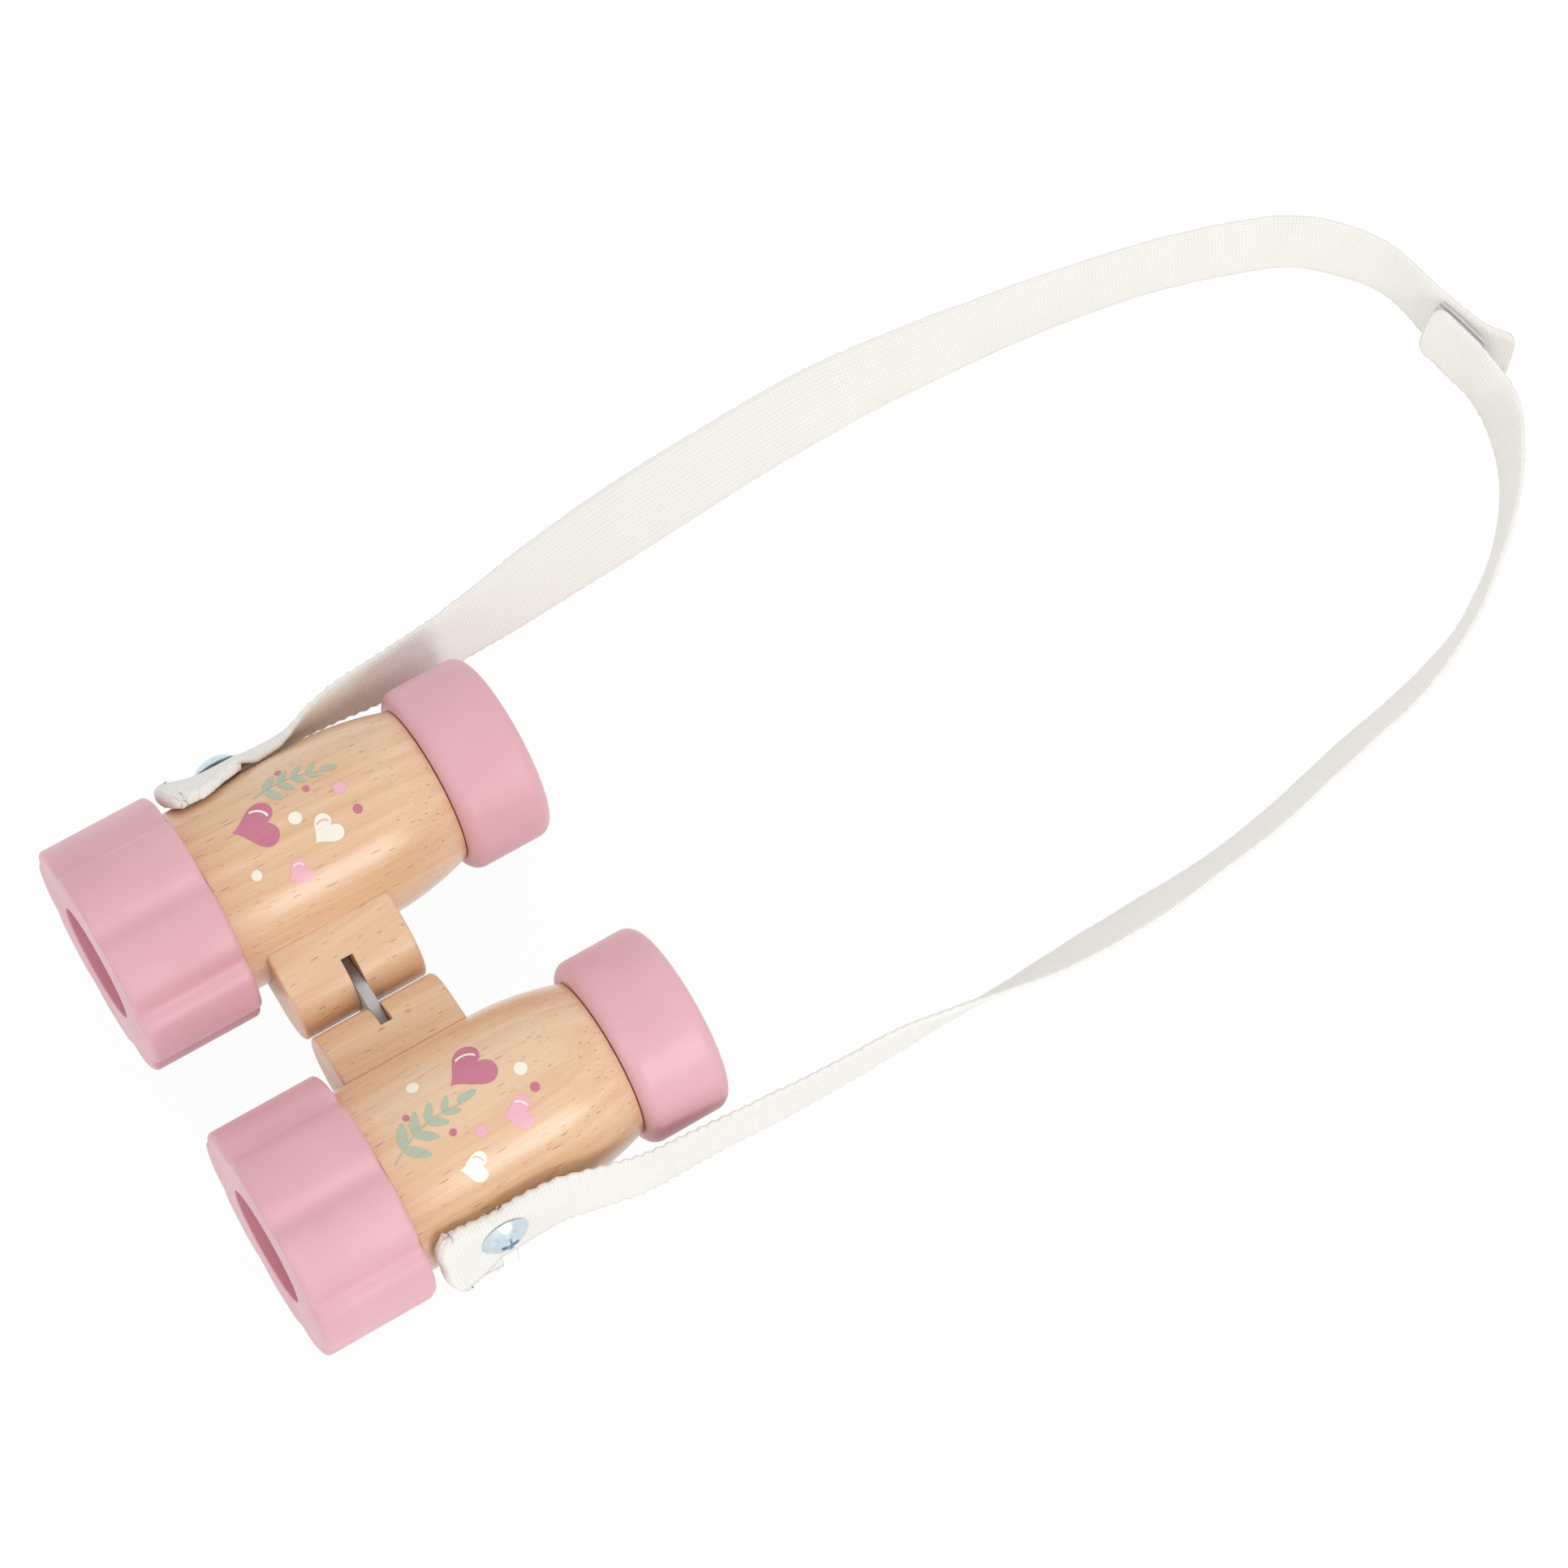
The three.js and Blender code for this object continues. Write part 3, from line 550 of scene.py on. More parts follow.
def coat_group():
    """Sprayed coat: soft cloudiness, fine pores and a slight orange peel."""
    name = "Sprayed Coat"
    if name in bpy.data.node_groups:
        return bpy.data.node_groups[name]
    tree, wires, source, sink = new_group(name, ("Thin", "Thick"))
    place = source["Vector"]
    cloud = wires.noise(place, 60.0, 3.0)
    peel = wires.noise(place, 900.0, 2.0)
    pores = wires.noise(wires.vector("MULTIPLY", place, (1, 0.12, 1)), 1600.0, 1.0)
    pores = wires.span(pores, 0.62, 0.78, 0.0, 1.0)
    share = wires.math("ADD", wires.span(cloud, 0.3, 0.7, 0.0, 0.4), wires.math("MULTIPLY", pores, 0.22))
    wires.put(sink["Color"], wires.blend(share, source["Thin"], source["Thick"]))
    wires.put(sink["Height"], wires.math("SUBTRACT", peel, wires.math("MULTIPLY", pores, 0.5)))
    wires.put(sink["Roughness"], wires.span(cloud, 0.3, 0.7, 0.4, 0.5))
    return tree


def weave_group():
    """Plain woven yarns over a UV map in metres, along and across the band, with painted shade where the
    yarns dip.
    """
    name = "Woven Yarns"
    if name in bpy.data.node_groups:
        return bpy.data.node_groups[name]
    tree, wires, source, sink = new_group(name, ("Yarn", "Painted gap shade"), ("Pitch",))
    apart = wires.add("ShaderNodeSeparateXYZ", {0: source["Vector"]}).outputs
    sway = wires.math("MULTIPLY", wires.noise(source["Vector"], 420.0, 2.0), 0.0005)
    along = wires.math("DIVIDE", wires.math("ADD", apart["X"], sway), source["Pitch"])
    across = wires.math("DIVIDE", wires.math("ADD", apart["Y"], sway), source["Pitch"])
    first = wires.math("COSINE", wires.math("MULTIPLY", along, math.pi * 1.25))
    second = wires.math("COSINE", wires.math("MULTIPLY", across, math.pi * 1.05))
    cross = wires.math("MULTIPLY", first, second)
    crown = wires.math("POWER", wires.math("ABSOLUTE", cross), 0.6)
    under = wires.span(cross, -0.4, 0.4, 0.72, 1.0)
    fuzz = wires.noise(source["Vector"], 5200.0, 2.0)
    height = wires.math("MULTIPLY", crown, under)
    height = wires.math("ADD", height, wires.math("MULTIPLY", fuzz, 0.35))
    worn = wires.noise(source["Vector"], 90.0, 2.0)
    # The gap colour is painted shade where the yarns dip, and also darkens random patches
    share = wires.math("ADD", wires.span(height, 0.1, 0.75, 0.8, 0.0), wires.span(worn, 0.45, 0.8, 0.0, 0.15))
    wires.put(sink["Color"], wires.blend(share, source["Yarn"], source["Painted gap shade"]))
    wires.put(sink["Height"], height)
    wires.put(sink["Roughness"], wires.span(fuzz, 0.3, 0.7, 0.86, 0.98))
    return tree


def new_material(name):
    """A material with a Principled shader, and its wiring."""
    material = bpy.data.materials.new(name)
    material.use_nodes = True
    return material, Wiring(material.node_tree), material.node_tree.nodes["Principled BSDF"]


def bumped(wires, shader, height, strength, distance):
    """Feed a height into the shader's normal."""
    bump = wires.add("ShaderNodeBump", {"Height": height, "Strength": strength, "Distance": distance})
    wires.put(shader.inputs["Normal"], bump.outputs["Normal"])


def opaque(colour):
    """A colour with full alpha."""
    return (*colour, 1.0)


def grouped(wires, shader, tree, inputs, strength, distance):
    """Take a shader's colour, roughness and relief from a node group."""
    group = wires.add("ShaderNodeGroup", inputs, node_tree=tree).outputs
    wires.put(shader.inputs["Base Color"], group["Color"])
    wires.put(shader.inputs["Roughness"], group["Roughness"])
    bumped(wires, shader, group["Height"], strength, distance)


def coated(shader, weight, roughness):
    """Lay a clear coat over a shader."""
    shader.inputs["Coat Weight"].default_value = weight
    shader.inputs["Coat Roughness"].default_value = roughness


def shaded(wires, colour, shade):
    """A colour made darker or lighter by one value."""
    tone = wires.add("ShaderNodeCombineColor", {0: shade, 1: shade, 2: shade}).outputs[0]
    return wires.blend(1.0, opaque(colour), tone, "MULTIPLY")


def beech(name, shift, lean, pith, block=False):
    """Beech with its own cut of the grain: lacquered, or plainer and broader in the hinge blocks."""
    colours = bpy.context.scene.binocular_colours
    material, wires, shader = new_material(name)
    cut = {
        "Vector": wires.place(),
        "Location": shift,
        "Rotation": lean,
        "Scale": (0.72, 1.2, 0.72) if block else (1, 1, 1),
    }
    inputs = {
        "Vector": wires.add("ShaderNodeMapping", cut).outputs[0],
        "Pale": opaque(colours.beech_pale),
        "Warm": opaque(colours.beech_warm),
        "Fleck": opaque(colours.block_fleck if block else colours.beech_fleck),
        "Pith X": pith[0],
        "Pith Z": pith[1],
    }
    grouped(wires, shader, grain_group(), inputs, 0.35, 0.00008)
    coated(shader, 0.2 if block else 0.9, 0.25)
    return material


def painted(name, thin, thick):
    """Satin paint on turned wood."""
    if name in bpy.data.materials:
        return bpy.data.materials[name]
    material, wires, shader = new_material(name)
    inputs = {"Vector": wires.place(), "Thin": opaque(thin), "Thick": opaque(thick)}
    grouped(wires, shader, coat_group(), inputs, 0.12, 0.0001)
    coated(shader, 0.12, 0.32)
    return material


def ring_paint_and_bore_shade():
    """Paint of a ring's outside, and the deeper pink of its bore: real paint, deepened as painted shade and
    painted pink reflection.
    """
    colours = bpy.context.scene.binocular_colours
    outside = painted("Pink paint", colours.pink, colours.pink_deep)
    # The bore's pink is deepened as painted shade and painted pink reflection
    return [outside, painted("Bore paint", colours.bore, colours.bore_shade_deep)]


def paint_bore_shade(bm, radius):
    """Give the wall of a bore about the Y axis the second paint, whose deeper pink is painted shade and
    painted pink reflection.
    """
    for face in bm.faces:
        middle = face.calc_center_median()
        if math.hypot(middle.x, middle.z) < radius + BORE_MARGIN and abs(face.normal.y) < 0.6:
            face.material_index = 1


def cotton():
    """Off-white cotton webbing."""
    name = "Cotton webbing"
    if name in bpy.data.materials:
        return bpy.data.materials[name]
    colours = bpy.context.scene.binocular_colours
    material, wires, shader = new_material(name)
    inputs = {
        "Vector": wires.add("ShaderNodeUVMap", uv_map="Weave").outputs[0],
        "Yarn": opaque(colours.cotton),
        # The gap colour is the painted shade between the yarns
        "Painted gap shade": opaque(colours.cotton_shade),
        "Pitch": bpy.context.scene.strap_sizes.yarn_pitch,
    }
    grouped(wires, shader, weave_group(), inputs, 0.42, 0.0002)
    shader.inputs["Sheen Weight"].default_value = 0.35
    shader.inputs["Sheen Roughness"].default_value = 0.5
    return material


def nylon():
    """Fuzzy hook and loop nylon."""
    name = "Closure nylon"
    if name in bpy.data.materials:
        return bpy.data.materials[name]
    colours = bpy.context.scene.binocular_colours
    material, wires, shader = new_material(name)
    fuzz = wires.noise(wires.place(), 2600.0, 3.0, 0.7)
    shade = wires.span(fuzz, 0.3, 0.7, 0.82, 1.0)
    wires.put(shader.inputs["Base Color"], shaded(wires, colours.nylon, shade))
    shader.inputs["Roughness"].default_value = 0.8
    bumped(wires, shader, fuzz, 0.8, 0.0004)
    return material


def metal(name, colour, rough_low, rough_high, brush, shine=1.0):
    """Bare or plated metal with fine brush lines."""
    if name in bpy.data.materials:
        return bpy.data.materials[name]
    material, wires, shader = new_material(name)
    place = wires.place()
    lines = wires.noise(wires.vector("MULTIPLY", place, brush), 900.0, 3.0, 0.6)
    cloud = wires.noise(place, 260.0, 2.0)
    shade = wires.span(wires.math("ADD", lines, cloud), 0.6, 1.4, 0.8, 1.08, False)
    wires.put(shader.inputs["Base Color"], shaded(wires, colour, shade))
    wires.put(shader.inputs["Roughness"], wires.span(lines, 0.3, 0.7, rough_low, rough_high))
    shader.inputs["Metallic"].default_value = shine
    bumped(wires, shader, lines, 0.15, 0.00004)
    return material


def steel():
    """Brushed steel of the link and the pins."""
    return metal("Brushed steel", bpy.context.scene.binocular_colours.steel, 0.42, 0.66, (0.3, 1, 1), 0.55)


def zinc():
    """Bright zinc of the strap screws."""
    return metal("Bright zinc", bpy.context.scene.binocular_colours.zinc, 0.26, 0.42, (1, 1, 1))


def clear_acrylic():
    """Clear lens discs with faint scuffs."""
    name = "Clear acrylic"
    if name in bpy.data.materials:
        return bpy.data.materials[name]
    colours = bpy.context.scene.binocular_colours
    material, wires, shader = new_material(name)
    scuff = wires.noise(wires.place(), 700.0, 4.0, 0.7)
    wires.put(shader.inputs["Roughness"], wires.span(scuff, 0.45, 0.8, 0.02, 0.12))
    shader.inputs["Base Color"].default_value = opaque(colours.acrylic)
    shader.inputs["IOR"].default_value = 1.49
    shader.inputs["Transmission Weight"].default_value = 1.0
    bumped(wires, shader, scuff, 0.03, 0.0001)
    return material


def ink(name, colour, deep):
    """Printed ink that darkens towards its outline, to screen values, and lets a little grain through."""
    if name in bpy.data.materials:
        return bpy.data.materials[name]
    material, wires, shader = new_material(name)
    place = wires.place()
    motif = wires.add("ShaderNodeUVMap", uv_map="Motif").outputs[0]
    apart = wires.add("ShaderNodeSeparateXYZ", {0: motif}).outputs
    wash = wires.noise(place, 420.0, 3.0, 0.6)
    outward = wires.math("ADD", apart["X"], wires.math("MULTIPLY", wash, 0.3))
    rim = wires.span(outward, 0.15, 1.15, 0.0, 1.0)
    speck = wires.noise(wires.vector("MULTIPLY", place, (1, 0.1, 1)), 1500.0, 2.0)
    rim = wires.math("ADD", rim, wires.span(speck, 0.5, 0.8, 0.0, 0.25))
    wires.put(shader.inputs["Base Color"], wires.blend(rim, opaque(colour), opaque(map(screen, deep))))
    wires.put(shader.inputs["Roughness"], wires.span(wash, 0.3, 0.7, 0.36, 0.46))
    coated(shader, 0.8, 0.25)
    return material


# Strap


# Steps of the fold's half turn, and of the smooth line between two points of a route
FOLD_STEPS = 12
FINE_STEPS = 60

# Sizes of the webbing's small irregularities, in metres
EDGE_LUMP = 0.0007
EDGE_FRAY = 0.00016
LONG_WAVE = 0.00045
SHORT_WAVE = 0.00018
CUPPING = 0.00035
CUT_JAG = 0.0007
FOLD_WANDER = 0.0006
FOLD_LOWER_CORNER = 0.0016
FOLD_UPPER_CORNER = 0.0008
END_CORNER = 0.0022
END_REACH = 0.009

# Rows of the mesh that the ragged cut takes in, steps across half of it, and rows eased beside the fold
CUT_ROWS = 3
JAG_STEPS = 9
FOLD_ROWS = 3


class Spot:
    """One place along a strap: middle, direction across, the barrel's outward and the band's own outward."""

    # How far the band departs there from a flat ribbon on its line
    under = 0.0
    flare = 0.0
    rise = 0.0
    pinch = 0.0
    puff = 0.0
    curl = 0.0

    def __init__(self, at, across, radial, out, hug=0.0):
        self.at = at
        self.across = across
        self.radial = radial
        self.out = out
        self.hug = hug


def tab_rise_at(strap, side, y):
    """How far a tab stands above its middle line at a place along the barrel."""
    if side > 0:
        return 0.0
    return strap.tab_rise * (1 - smooth_step(strap.tab_rise_start, strap.tab_rise_end, y))


def route_point(points, spot):
    """A point of (x, y, z, lean) on the smooth line through the points, centripetal as in the CAD model."""
    near = min(int(spot), len(points) - 2)
    weight = spot - near
    here = points[near]
    after = points[near + 1]
    before = points[near - 1] if near > 0 else here * 2 - after
    beyond = points[near + 2] if near + 2 < len(points) else after * 2 - here
    spans = ((before, here), (here, after), (after, beyond))
    gaps = [max((b.xyz - a.xyz).length ** 0.5, 1e-4) for a, b in spans]
    first = (here - before) / gaps[0] - (after - before) / (gaps[0] + gaps[1]) + (after - here) / gaps[1]
    second = (after - here) / gaps[1] - (beyond - here) / (gaps[1] + gaps[2]) + (beyond - after) / gaps[2]
    first = first * gaps[1]
    second = second * gaps[1]
    bend = (after - here) * 3 - first * 2 - second
    twist = (here - after) * 2 + first + second
    return here + first * weight + bend * weight ** 2 + twist * weight ** 3


def band_facing(along, side, lean):
    """Directions across and out of a band that runs along a line, its top edge leaning outward."""
    outward = Vector((along.y, -along.x, 0)).normalized() * side
    up = outward.cross(along).normalized()
    if up.z < 0:
        up = -up
    across = up * math.cos(lean) + outward * math.sin(lean)
    out = outward * math.cos(lean) - up * math.sin(lean)
    return across, out


def route_spots(points, side, step):
    """Evenly spaced places along a route."""
    fine = [route_point(points, i / FINE_STEPS) for i in range(FINE_STEPS * (len(points) - 1) + 1)]
    spots = []
    walked = step
    for i, point in enumerate(fine):
        if i:
            walked += (point.xyz - fine[i - 1].xyz).length
        if walked < step and i + 1 < len(fine):
            continue
        walked = 0.0
        ahead = fine[min(i + 1, len(fine) - 1)].xyz - fine[max(i - 1, 0)].xyz
        across, out = band_facing(ahead.normalized(), side, point.w)
        spots.append(Spot(point.xyz, across, out, out))
    return spots


def route_values(rows):
    """Route rows of millimetres and degrees as vectors of metres and radians."""
    return [Vector((x * MM, y * MM, z * MM, math.radians(lean))) for x, y, z, lean in rows]


def joint_values(offset, flares=(0,) * len(JOINT_ROUTE)):
    """The closure's points, moved square to the band, and level by their flares."""
    points = route_values(JOINT_ROUTE)
    last = len(points) - 1
    moved = []
    for i, point in enumerate(points):
        ahead = route_point(points, min(i + 0.05, last)) - route_point(points, max(i - 0.05, 0))
        _, out = band_facing(ahead.xyz.normalized(), -1, point.w)
        place = point.xyz + out * offset + Vector((out.x, out.y, 0)) * (flares[i] * MM)
        moved.append(Vector((*place, point.w)))
    return moved


def strap_spots(sizes, strap, side):
    """Places along one half of the strap: those of its folded tab, then those of its run to the closure."""
    place = half_place(sizes, side)
    facing = place.to_3x3()
    across = facing @ Vector((0, 0, 1))
    radial = facing @ Vector((side, 0, 0))
    back = facing @ Vector((0, -1, 0))

    def local(radius, y):
        return place @ Vector((side * radius, y, 0))

    swing = (strap.top_layer - strap.under_layer) / 2
    middle = (strap.top_layer + strap.under_layer) / 2
    crease = strap.tab_fold + swing
    puff = strap.tab_puff * (0.3 if side > 0 else 1.0)
    under_end = strap.tab_under_end if side > 0 else strap.right_under_end
    pinch = 0.8 * swing
    count = int((under_end - crease) / strap.row_step)
    tab = []
    for i in range(count):
        y = under_end + (crease - under_end) * i / count
        spot = Spot(local(strap.under_layer, y), across, radial, -radial, 1.0)
        spot.under = y - crease
        spot.flare = strap.tab_flare
        spot.rise = tab_rise_at(strap, side, y)
        spot.pinch = pinch
        tab.append(spot)
    for i in range(FOLD_STEPS + 1):
        angle = math.radians(-90 + 180 * i / FOLD_STEPS)
        out = radial * math.sin(angle) + back * math.cos(angle)
        spot = Spot(local(middle, crease) + out * swing, across, radial, out, 1.0)
        spot.flare = strap.tab_flare
        spot.rise = tab_rise_at(strap, side, crease)
        spot.pinch = pinch
        spot.puff = puff * (0.5 + 0.5 * math.sin(angle))
        tab.append(spot)
    for i in range(1, count):
        y = crease + (under_end - crease) * i / count
        spot = Spot(local(strap.top_layer, y), across, radial, radial, 1.0)
        spot.flare = strap.tab_flare * (1 - smooth_step(crease, sizes.screw_place + 1 * MM, y))
        spot.rise = tab_rise_at(strap, side, y)
        spot.pinch = pinch * (1 - smooth_step(0.6, 1.0, i / count))
        spot.puff = puff * math.exp(-((y - crease) / (5 * MM)) ** 2)
        tab.append(spot)
    start = local(strap.top_layer, under_end)
    leave = local(strap.top_layer, strap.tab_leave)
    points = [Vector((*at, -sizes.hinge_sag)) for at in (start, leave)]
    if side > 0:
        points += route_values(LEFT_ROUTE) + joint_values(-strap.band_offset)[::-1]
    else:
        points += route_values(RIGHT_ROUTE) + joint_values(strap.band_offset, END_FLARE)
    run = route_spots(points, side, strap.row_step)
    for spot in run:
        gone = (spot.at - start).length
        spot.hug = 1 - smooth_step(4 * MM, 22 * MM, gone)
        spot.rise = tab_rise_at(strap, side, under_end + gone)
        # The right strap's top edge rolls in behind the screw, and out where the strap leaves the barrel
        if side < 0:
            rolled_in = smooth_step(0, 4 * MM, gone) * (1 - smooth_step(8 * MM, 16 * MM, gone))
            rolled_out = smooth_step(9 * MM, 19 * MM, gone) * (1 - smooth_step(23 * MM, 52 * MM, gone))
            spot.curl = strap.top_curl * (rolled_out - rolled_in)
    return tab, run


def band(spots, width, thickness, shape, columns=11, puff=1.0):
    """A woven band through spots, with a UV map in metres along and across it. shape moves each point."""
    bm = bmesh.new()
    layer = bm.loops.layers.uv.new("Weave")
    shares = [-1 + 2 * k / (columns - 1) for k in range(columns)]
    section = [(share, 1) for share in shares] + [(1.0, 0)]
    section += [(share, -1) for share in reversed(shares)] + [(-1.0, 0)]
    rows = []
    flat = {}
    walked = 0.0
    for i, spot in enumerate(spots):
        if i:
            walked += (spot.at - spots[i - 1].at).length
        row = []
        for share, face in section:
            rim = 0.975 if face and abs(share) == 1 else 1.0
            thin = 0.62 if face and abs(share) == 1 else 1.0 - 0.12 * abs(share) ** 6
            thin += (puff - thin) * spot.hug
            wide = share * rim * width / 2
            point = shape(i, walked, wide, spot)
            vert = bm.verts.new(point + spot.out * (face * thin * thickness / 2))
            flat[vert] = (walked, wide)
            row.append(vert)
        rows.append(row)
    count = len(section)
    for row, after in zip(rows, rows[1:]):
        for k in range(count):
            bm.faces.new((row[k], row[(k + 1) % count], after[(k + 1) % count], after[k]))
    for row in (rows[0], rows[-1]):
        for k in range(columns - 1):
            bm.faces.new((row[k], row[k + 1], row[count - 3 - k], row[count - 2 - k]))
        bm.faces.new((row[columns - 1], row[columns], row[columns + 1]))
        bm.faces.new((row[count - 2], row[count - 1], row[0]))
    for face in bm.faces:
        for loop in face.loops:
            loop[layer].uv = flat[loop.vert]
    bmesh.ops.recalc_face_normals(bm, faces=bm.faces)
    return bm


def wander(x, y, z):
    """A smooth random value, from about -1 to 1, at a place."""
    return noise.noise(Vector((x, y, z)))


def strap_shape(strap, side, spots, folds):
    """How the webbing departs from a flat ribbon: its hug, woven edges, eased corners and waves."""
    chance = random.Random(11 + side)
    jag = [chance.uniform(-1, 1) for _ in range(2 * JAG_STEPS + 1)]
    half = strap.width / 2
    bow = strap.top_layer
    hug_above = 0.2 if side > 0 else 0.95
    hug_below = 0.12
    skew = strap.tab_skew if side > 0 else 0.0
    total = sum((b.at - a.at).length for a, b in zip(spots, spots[1:]))
    forward = spots[folds[len(folds) // 2]].out
    end_along = (spots[-1].at - spots[-4].at).normalized()

    def shape(i, walked, wide, spot):
        share = wide / half
        free = 1 - spot.hug
        corner = abs(share) ** 5
        edge = smooth_step(0.72, 1.0, abs(share))
        bump = abs(math.sin(math.pi * walked / strap.selvedge_pitch))
        height = strap.selvedge_height * (1 - 0.65 * smooth_step(0.05, 0.16, walked))
        wobble = wander(walked * 260, side * 3.1, 0.0)
        wide += math.copysign(edge * height * (bump - 0.6 + 0.5 * wobble), wide)
        lump = wander(spot.at.y * 240, side * 5.3, 1.0)
        fray = wander(walked * 1400, side * 2.7, 4.0)
        wide += edge * (spot.hug * EDGE_LUMP * lump + EDGE_FRAY * fray)
        wide += spot.rise - spot.under * skew
        point = spot.at.copy()
        point += spot.radial * (spot.flare * max(-share, 0.0) ** 1.6)
        point += spot.radial * (spot.puff * (1 - 0.5 * share ** 2))
        point += spot.out * (spot.curl * max(share, 0.0) ** 2)
        point -= spot.out * (spot.pinch * smooth_step(0.55, 1.0, share))
        ruffle = 1.1 if side > 0 and share > 0 else 0.8 * free
        point += spot.out * (ruffle * edge * height * (0.64 - bump))
        if spot.hug:
            hug = hug_above if wide > 0 else hug_below
            dip = bow - math.sqrt(max(bow ** 2 - wide ** 2, 0.0))
            point -= spot.radial * (dip * hug * spot.hug)
        wave = wander(walked * 38, share * 0.6 + 5.0, side * 7.0)
        ripple = wander(walked * 120, share * 1.4 + 9.0, side * 2.0)
        point += spot.out * (free * (LONG_WAVE * wave + SHORT_WAVE * ripple))
        point += spot.out * (free * CUPPING * (share ** 2 - 0.35))
        point += spot.across * wide
        if i < CUT_ROWS:
            along = (spot.at - spots[2 * CUT_ROWS].at).normalized()
            point += along * (CUT_JAG * jag[int((share + 1) * JAG_STEPS)])
        if folds[0] - FOLD_ROWS <= i <= folds[-1] + FOLD_ROWS:
            cut = FOLD_LOWER_CORNER if share < 0 else FOLD_UPPER_CORNER
            point += forward * (FOLD_WANDER * wander(share * 1.3, side, 0) - cut * corner)
        left = total - walked
        if left < END_REACH:
            ease = 1 - left / END_REACH
            point -= end_along * (END_CORNER * corner * ease)
        return point

    return shape


def pad_shape(offset):
    """A flat patch with the slight fuzz of hooks or loops, which differs with its offset."""

    def shape(i, walked, wide, spot):
        fuzz = wander(walked * 900, wide * 900, offset * 4000)
        return spot.at + spot.across * wide + spot.out * (0.00008 * fuzz)

    return shape


# Pieces


# Area lamps: name, place, target, width and height, watts, spread in degrees
LAMPS = (
    ("key_softbox", (0.62, 0.16, 0.36), (0.0, 0.03, 0.02), (0.28, 0.26), 1.3, 180),
    ("far_fill", (-0.5, 0.5, 0.8), (0.0, 0.1, 0.0), (0.8, 0.8), 1.2, 180),
    ("front_fill", (0.22, -0.7, 0.3), (0.0, -0.04, 0.02), (0.4, 0.4), 0.65, 180),
    ("end_fill", (0.1, -0.02, 0.6), (-0.02, 0.26, 0.01), (0.25, 0.25), 0.029, 44),
)

# Share of the table that the camera sees through to the white surroundings
TABLE_CLEAR = 0.96


class BINOCULARS_OT_stage(bpy.types.Operator):
    """Set the camera, the soft studio light and the pale floor"""

    bl_idname = "binoculars.stage"
    bl_label = "Stage"

    def execute(self, context):
        scene = context.scene
        scene.view_settings.view_transform = "Standard"
        camera = bpy.data.objects.new("camera", bpy.data.cameras.new("camera"))
        camera.data.sensor_width = 36
        camera.data.sensor_fit = "HORIZONTAL"
        camera.data.lens = 103.426
        camera.data.clip_start = 0.01
        camera.location = (0.311277, -0.080696, 0.873632)
        camera.rotation_euler = (0.3911551, 0.0188377, 1.0150556)
        scene.collection.objects.link(camera)
        scene.camera = camera
        for values in LAMPS:
            self.lamp(context, *values)
        self.floor(context)
        self.surroundings(scene)
        return {"FINISHED"}

    def lamp(self, context, name, place, target, size, power, spread):
        light = bpy.data.lights.new(name, "AREA")
        light.shape = "RECTANGLE"
        light.size = size[0]
        light.size_y = size[1]
        light.energy = power
        light.spread = math.radians(spread)
        lamp = bpy.data.objects.new(name, light)
        lamp.location = place
        lamp.rotation_euler = (Vector(target) - Vector(place)).to_track_quat("-Z", "Y").to_euler()
        context.scene.collection.objects.link(lamp)

    def seen_directly(self, wires):
        """One for rays that show the background, zero for those that light the object."""
        path = wires.add("ShaderNodeLightPath").outputs
        seen = wires.math("MAXIMUM", path["Is Camera Ray"], path["Is Glossy Ray"])
        return wires.math("MAXIMUM", seen, path["Is Transmission Ray"])

    def floor(self, context):
        """A table top that bounces light and shows a faint shadow, and is clear from below."""
        bm = bmesh.new()
        bmesh.ops.create_grid(bm, x_segments=4, y_segments=4, size=3)
        bmesh.ops.translate(bm, vec=(0, 0.1, -0.0003), verts=bm.verts)
        mesh = bpy.data.meshes.new("floor")
        bm.to_mesh(mesh)
        bm.free()
        floor = bpy.data.objects.new("floor", mesh)
        context.scene.collection.objects.link(floor)
        material = bpy.data.materials.new("White table")
        material.use_nodes = True
        tree = material.node_tree
        tree.nodes.clear()
        wires = Wiring(tree)
        matt = wires.add("ShaderNodeBsdfDiffuse", {"Color": (0.86, 0.86, 0.86, 1)})
        clear = wires.add("ShaderNodeBsdfTransparent", {"Color": (1, 1, 1, 1)})
        share = wires.math("MULTIPLY", self.seen_directly(wires), TABLE_CLEAR)
        below = wires.add("ShaderNodeNewGeometry").outputs["Backfacing"]
        share = wires.math("MAXIMUM", share, below)
        mixed = wires.add("ShaderNodeMixShader", {0: share, 1: matt.outputs[0], 2: clear.outputs[0]})
        wires.add("ShaderNodeOutputMaterial", {"Surface": mixed.outputs[0]})
        mesh.materials.append(material)

    def surroundings(self, scene):
        """White where it is seen, and a little dimmer as a light."""
        world = bpy.data.worlds.new("studio")
        scene.world = world
        world.use_nodes = True
        tree = world.node_tree
        tree.nodes.clear()
        wires = Wiring(tree)
        strength = wires.span(self.seen_directly(wires), 0.0, 1.0, 0.72, 1.0, False)
        glow = wires.add("ShaderNodeBackground", {"Color": (1, 1, 1, 1), "Strength": strength})
        wires.add("ShaderNodeOutputWorld", {"Surface": glow.outputs[0]})


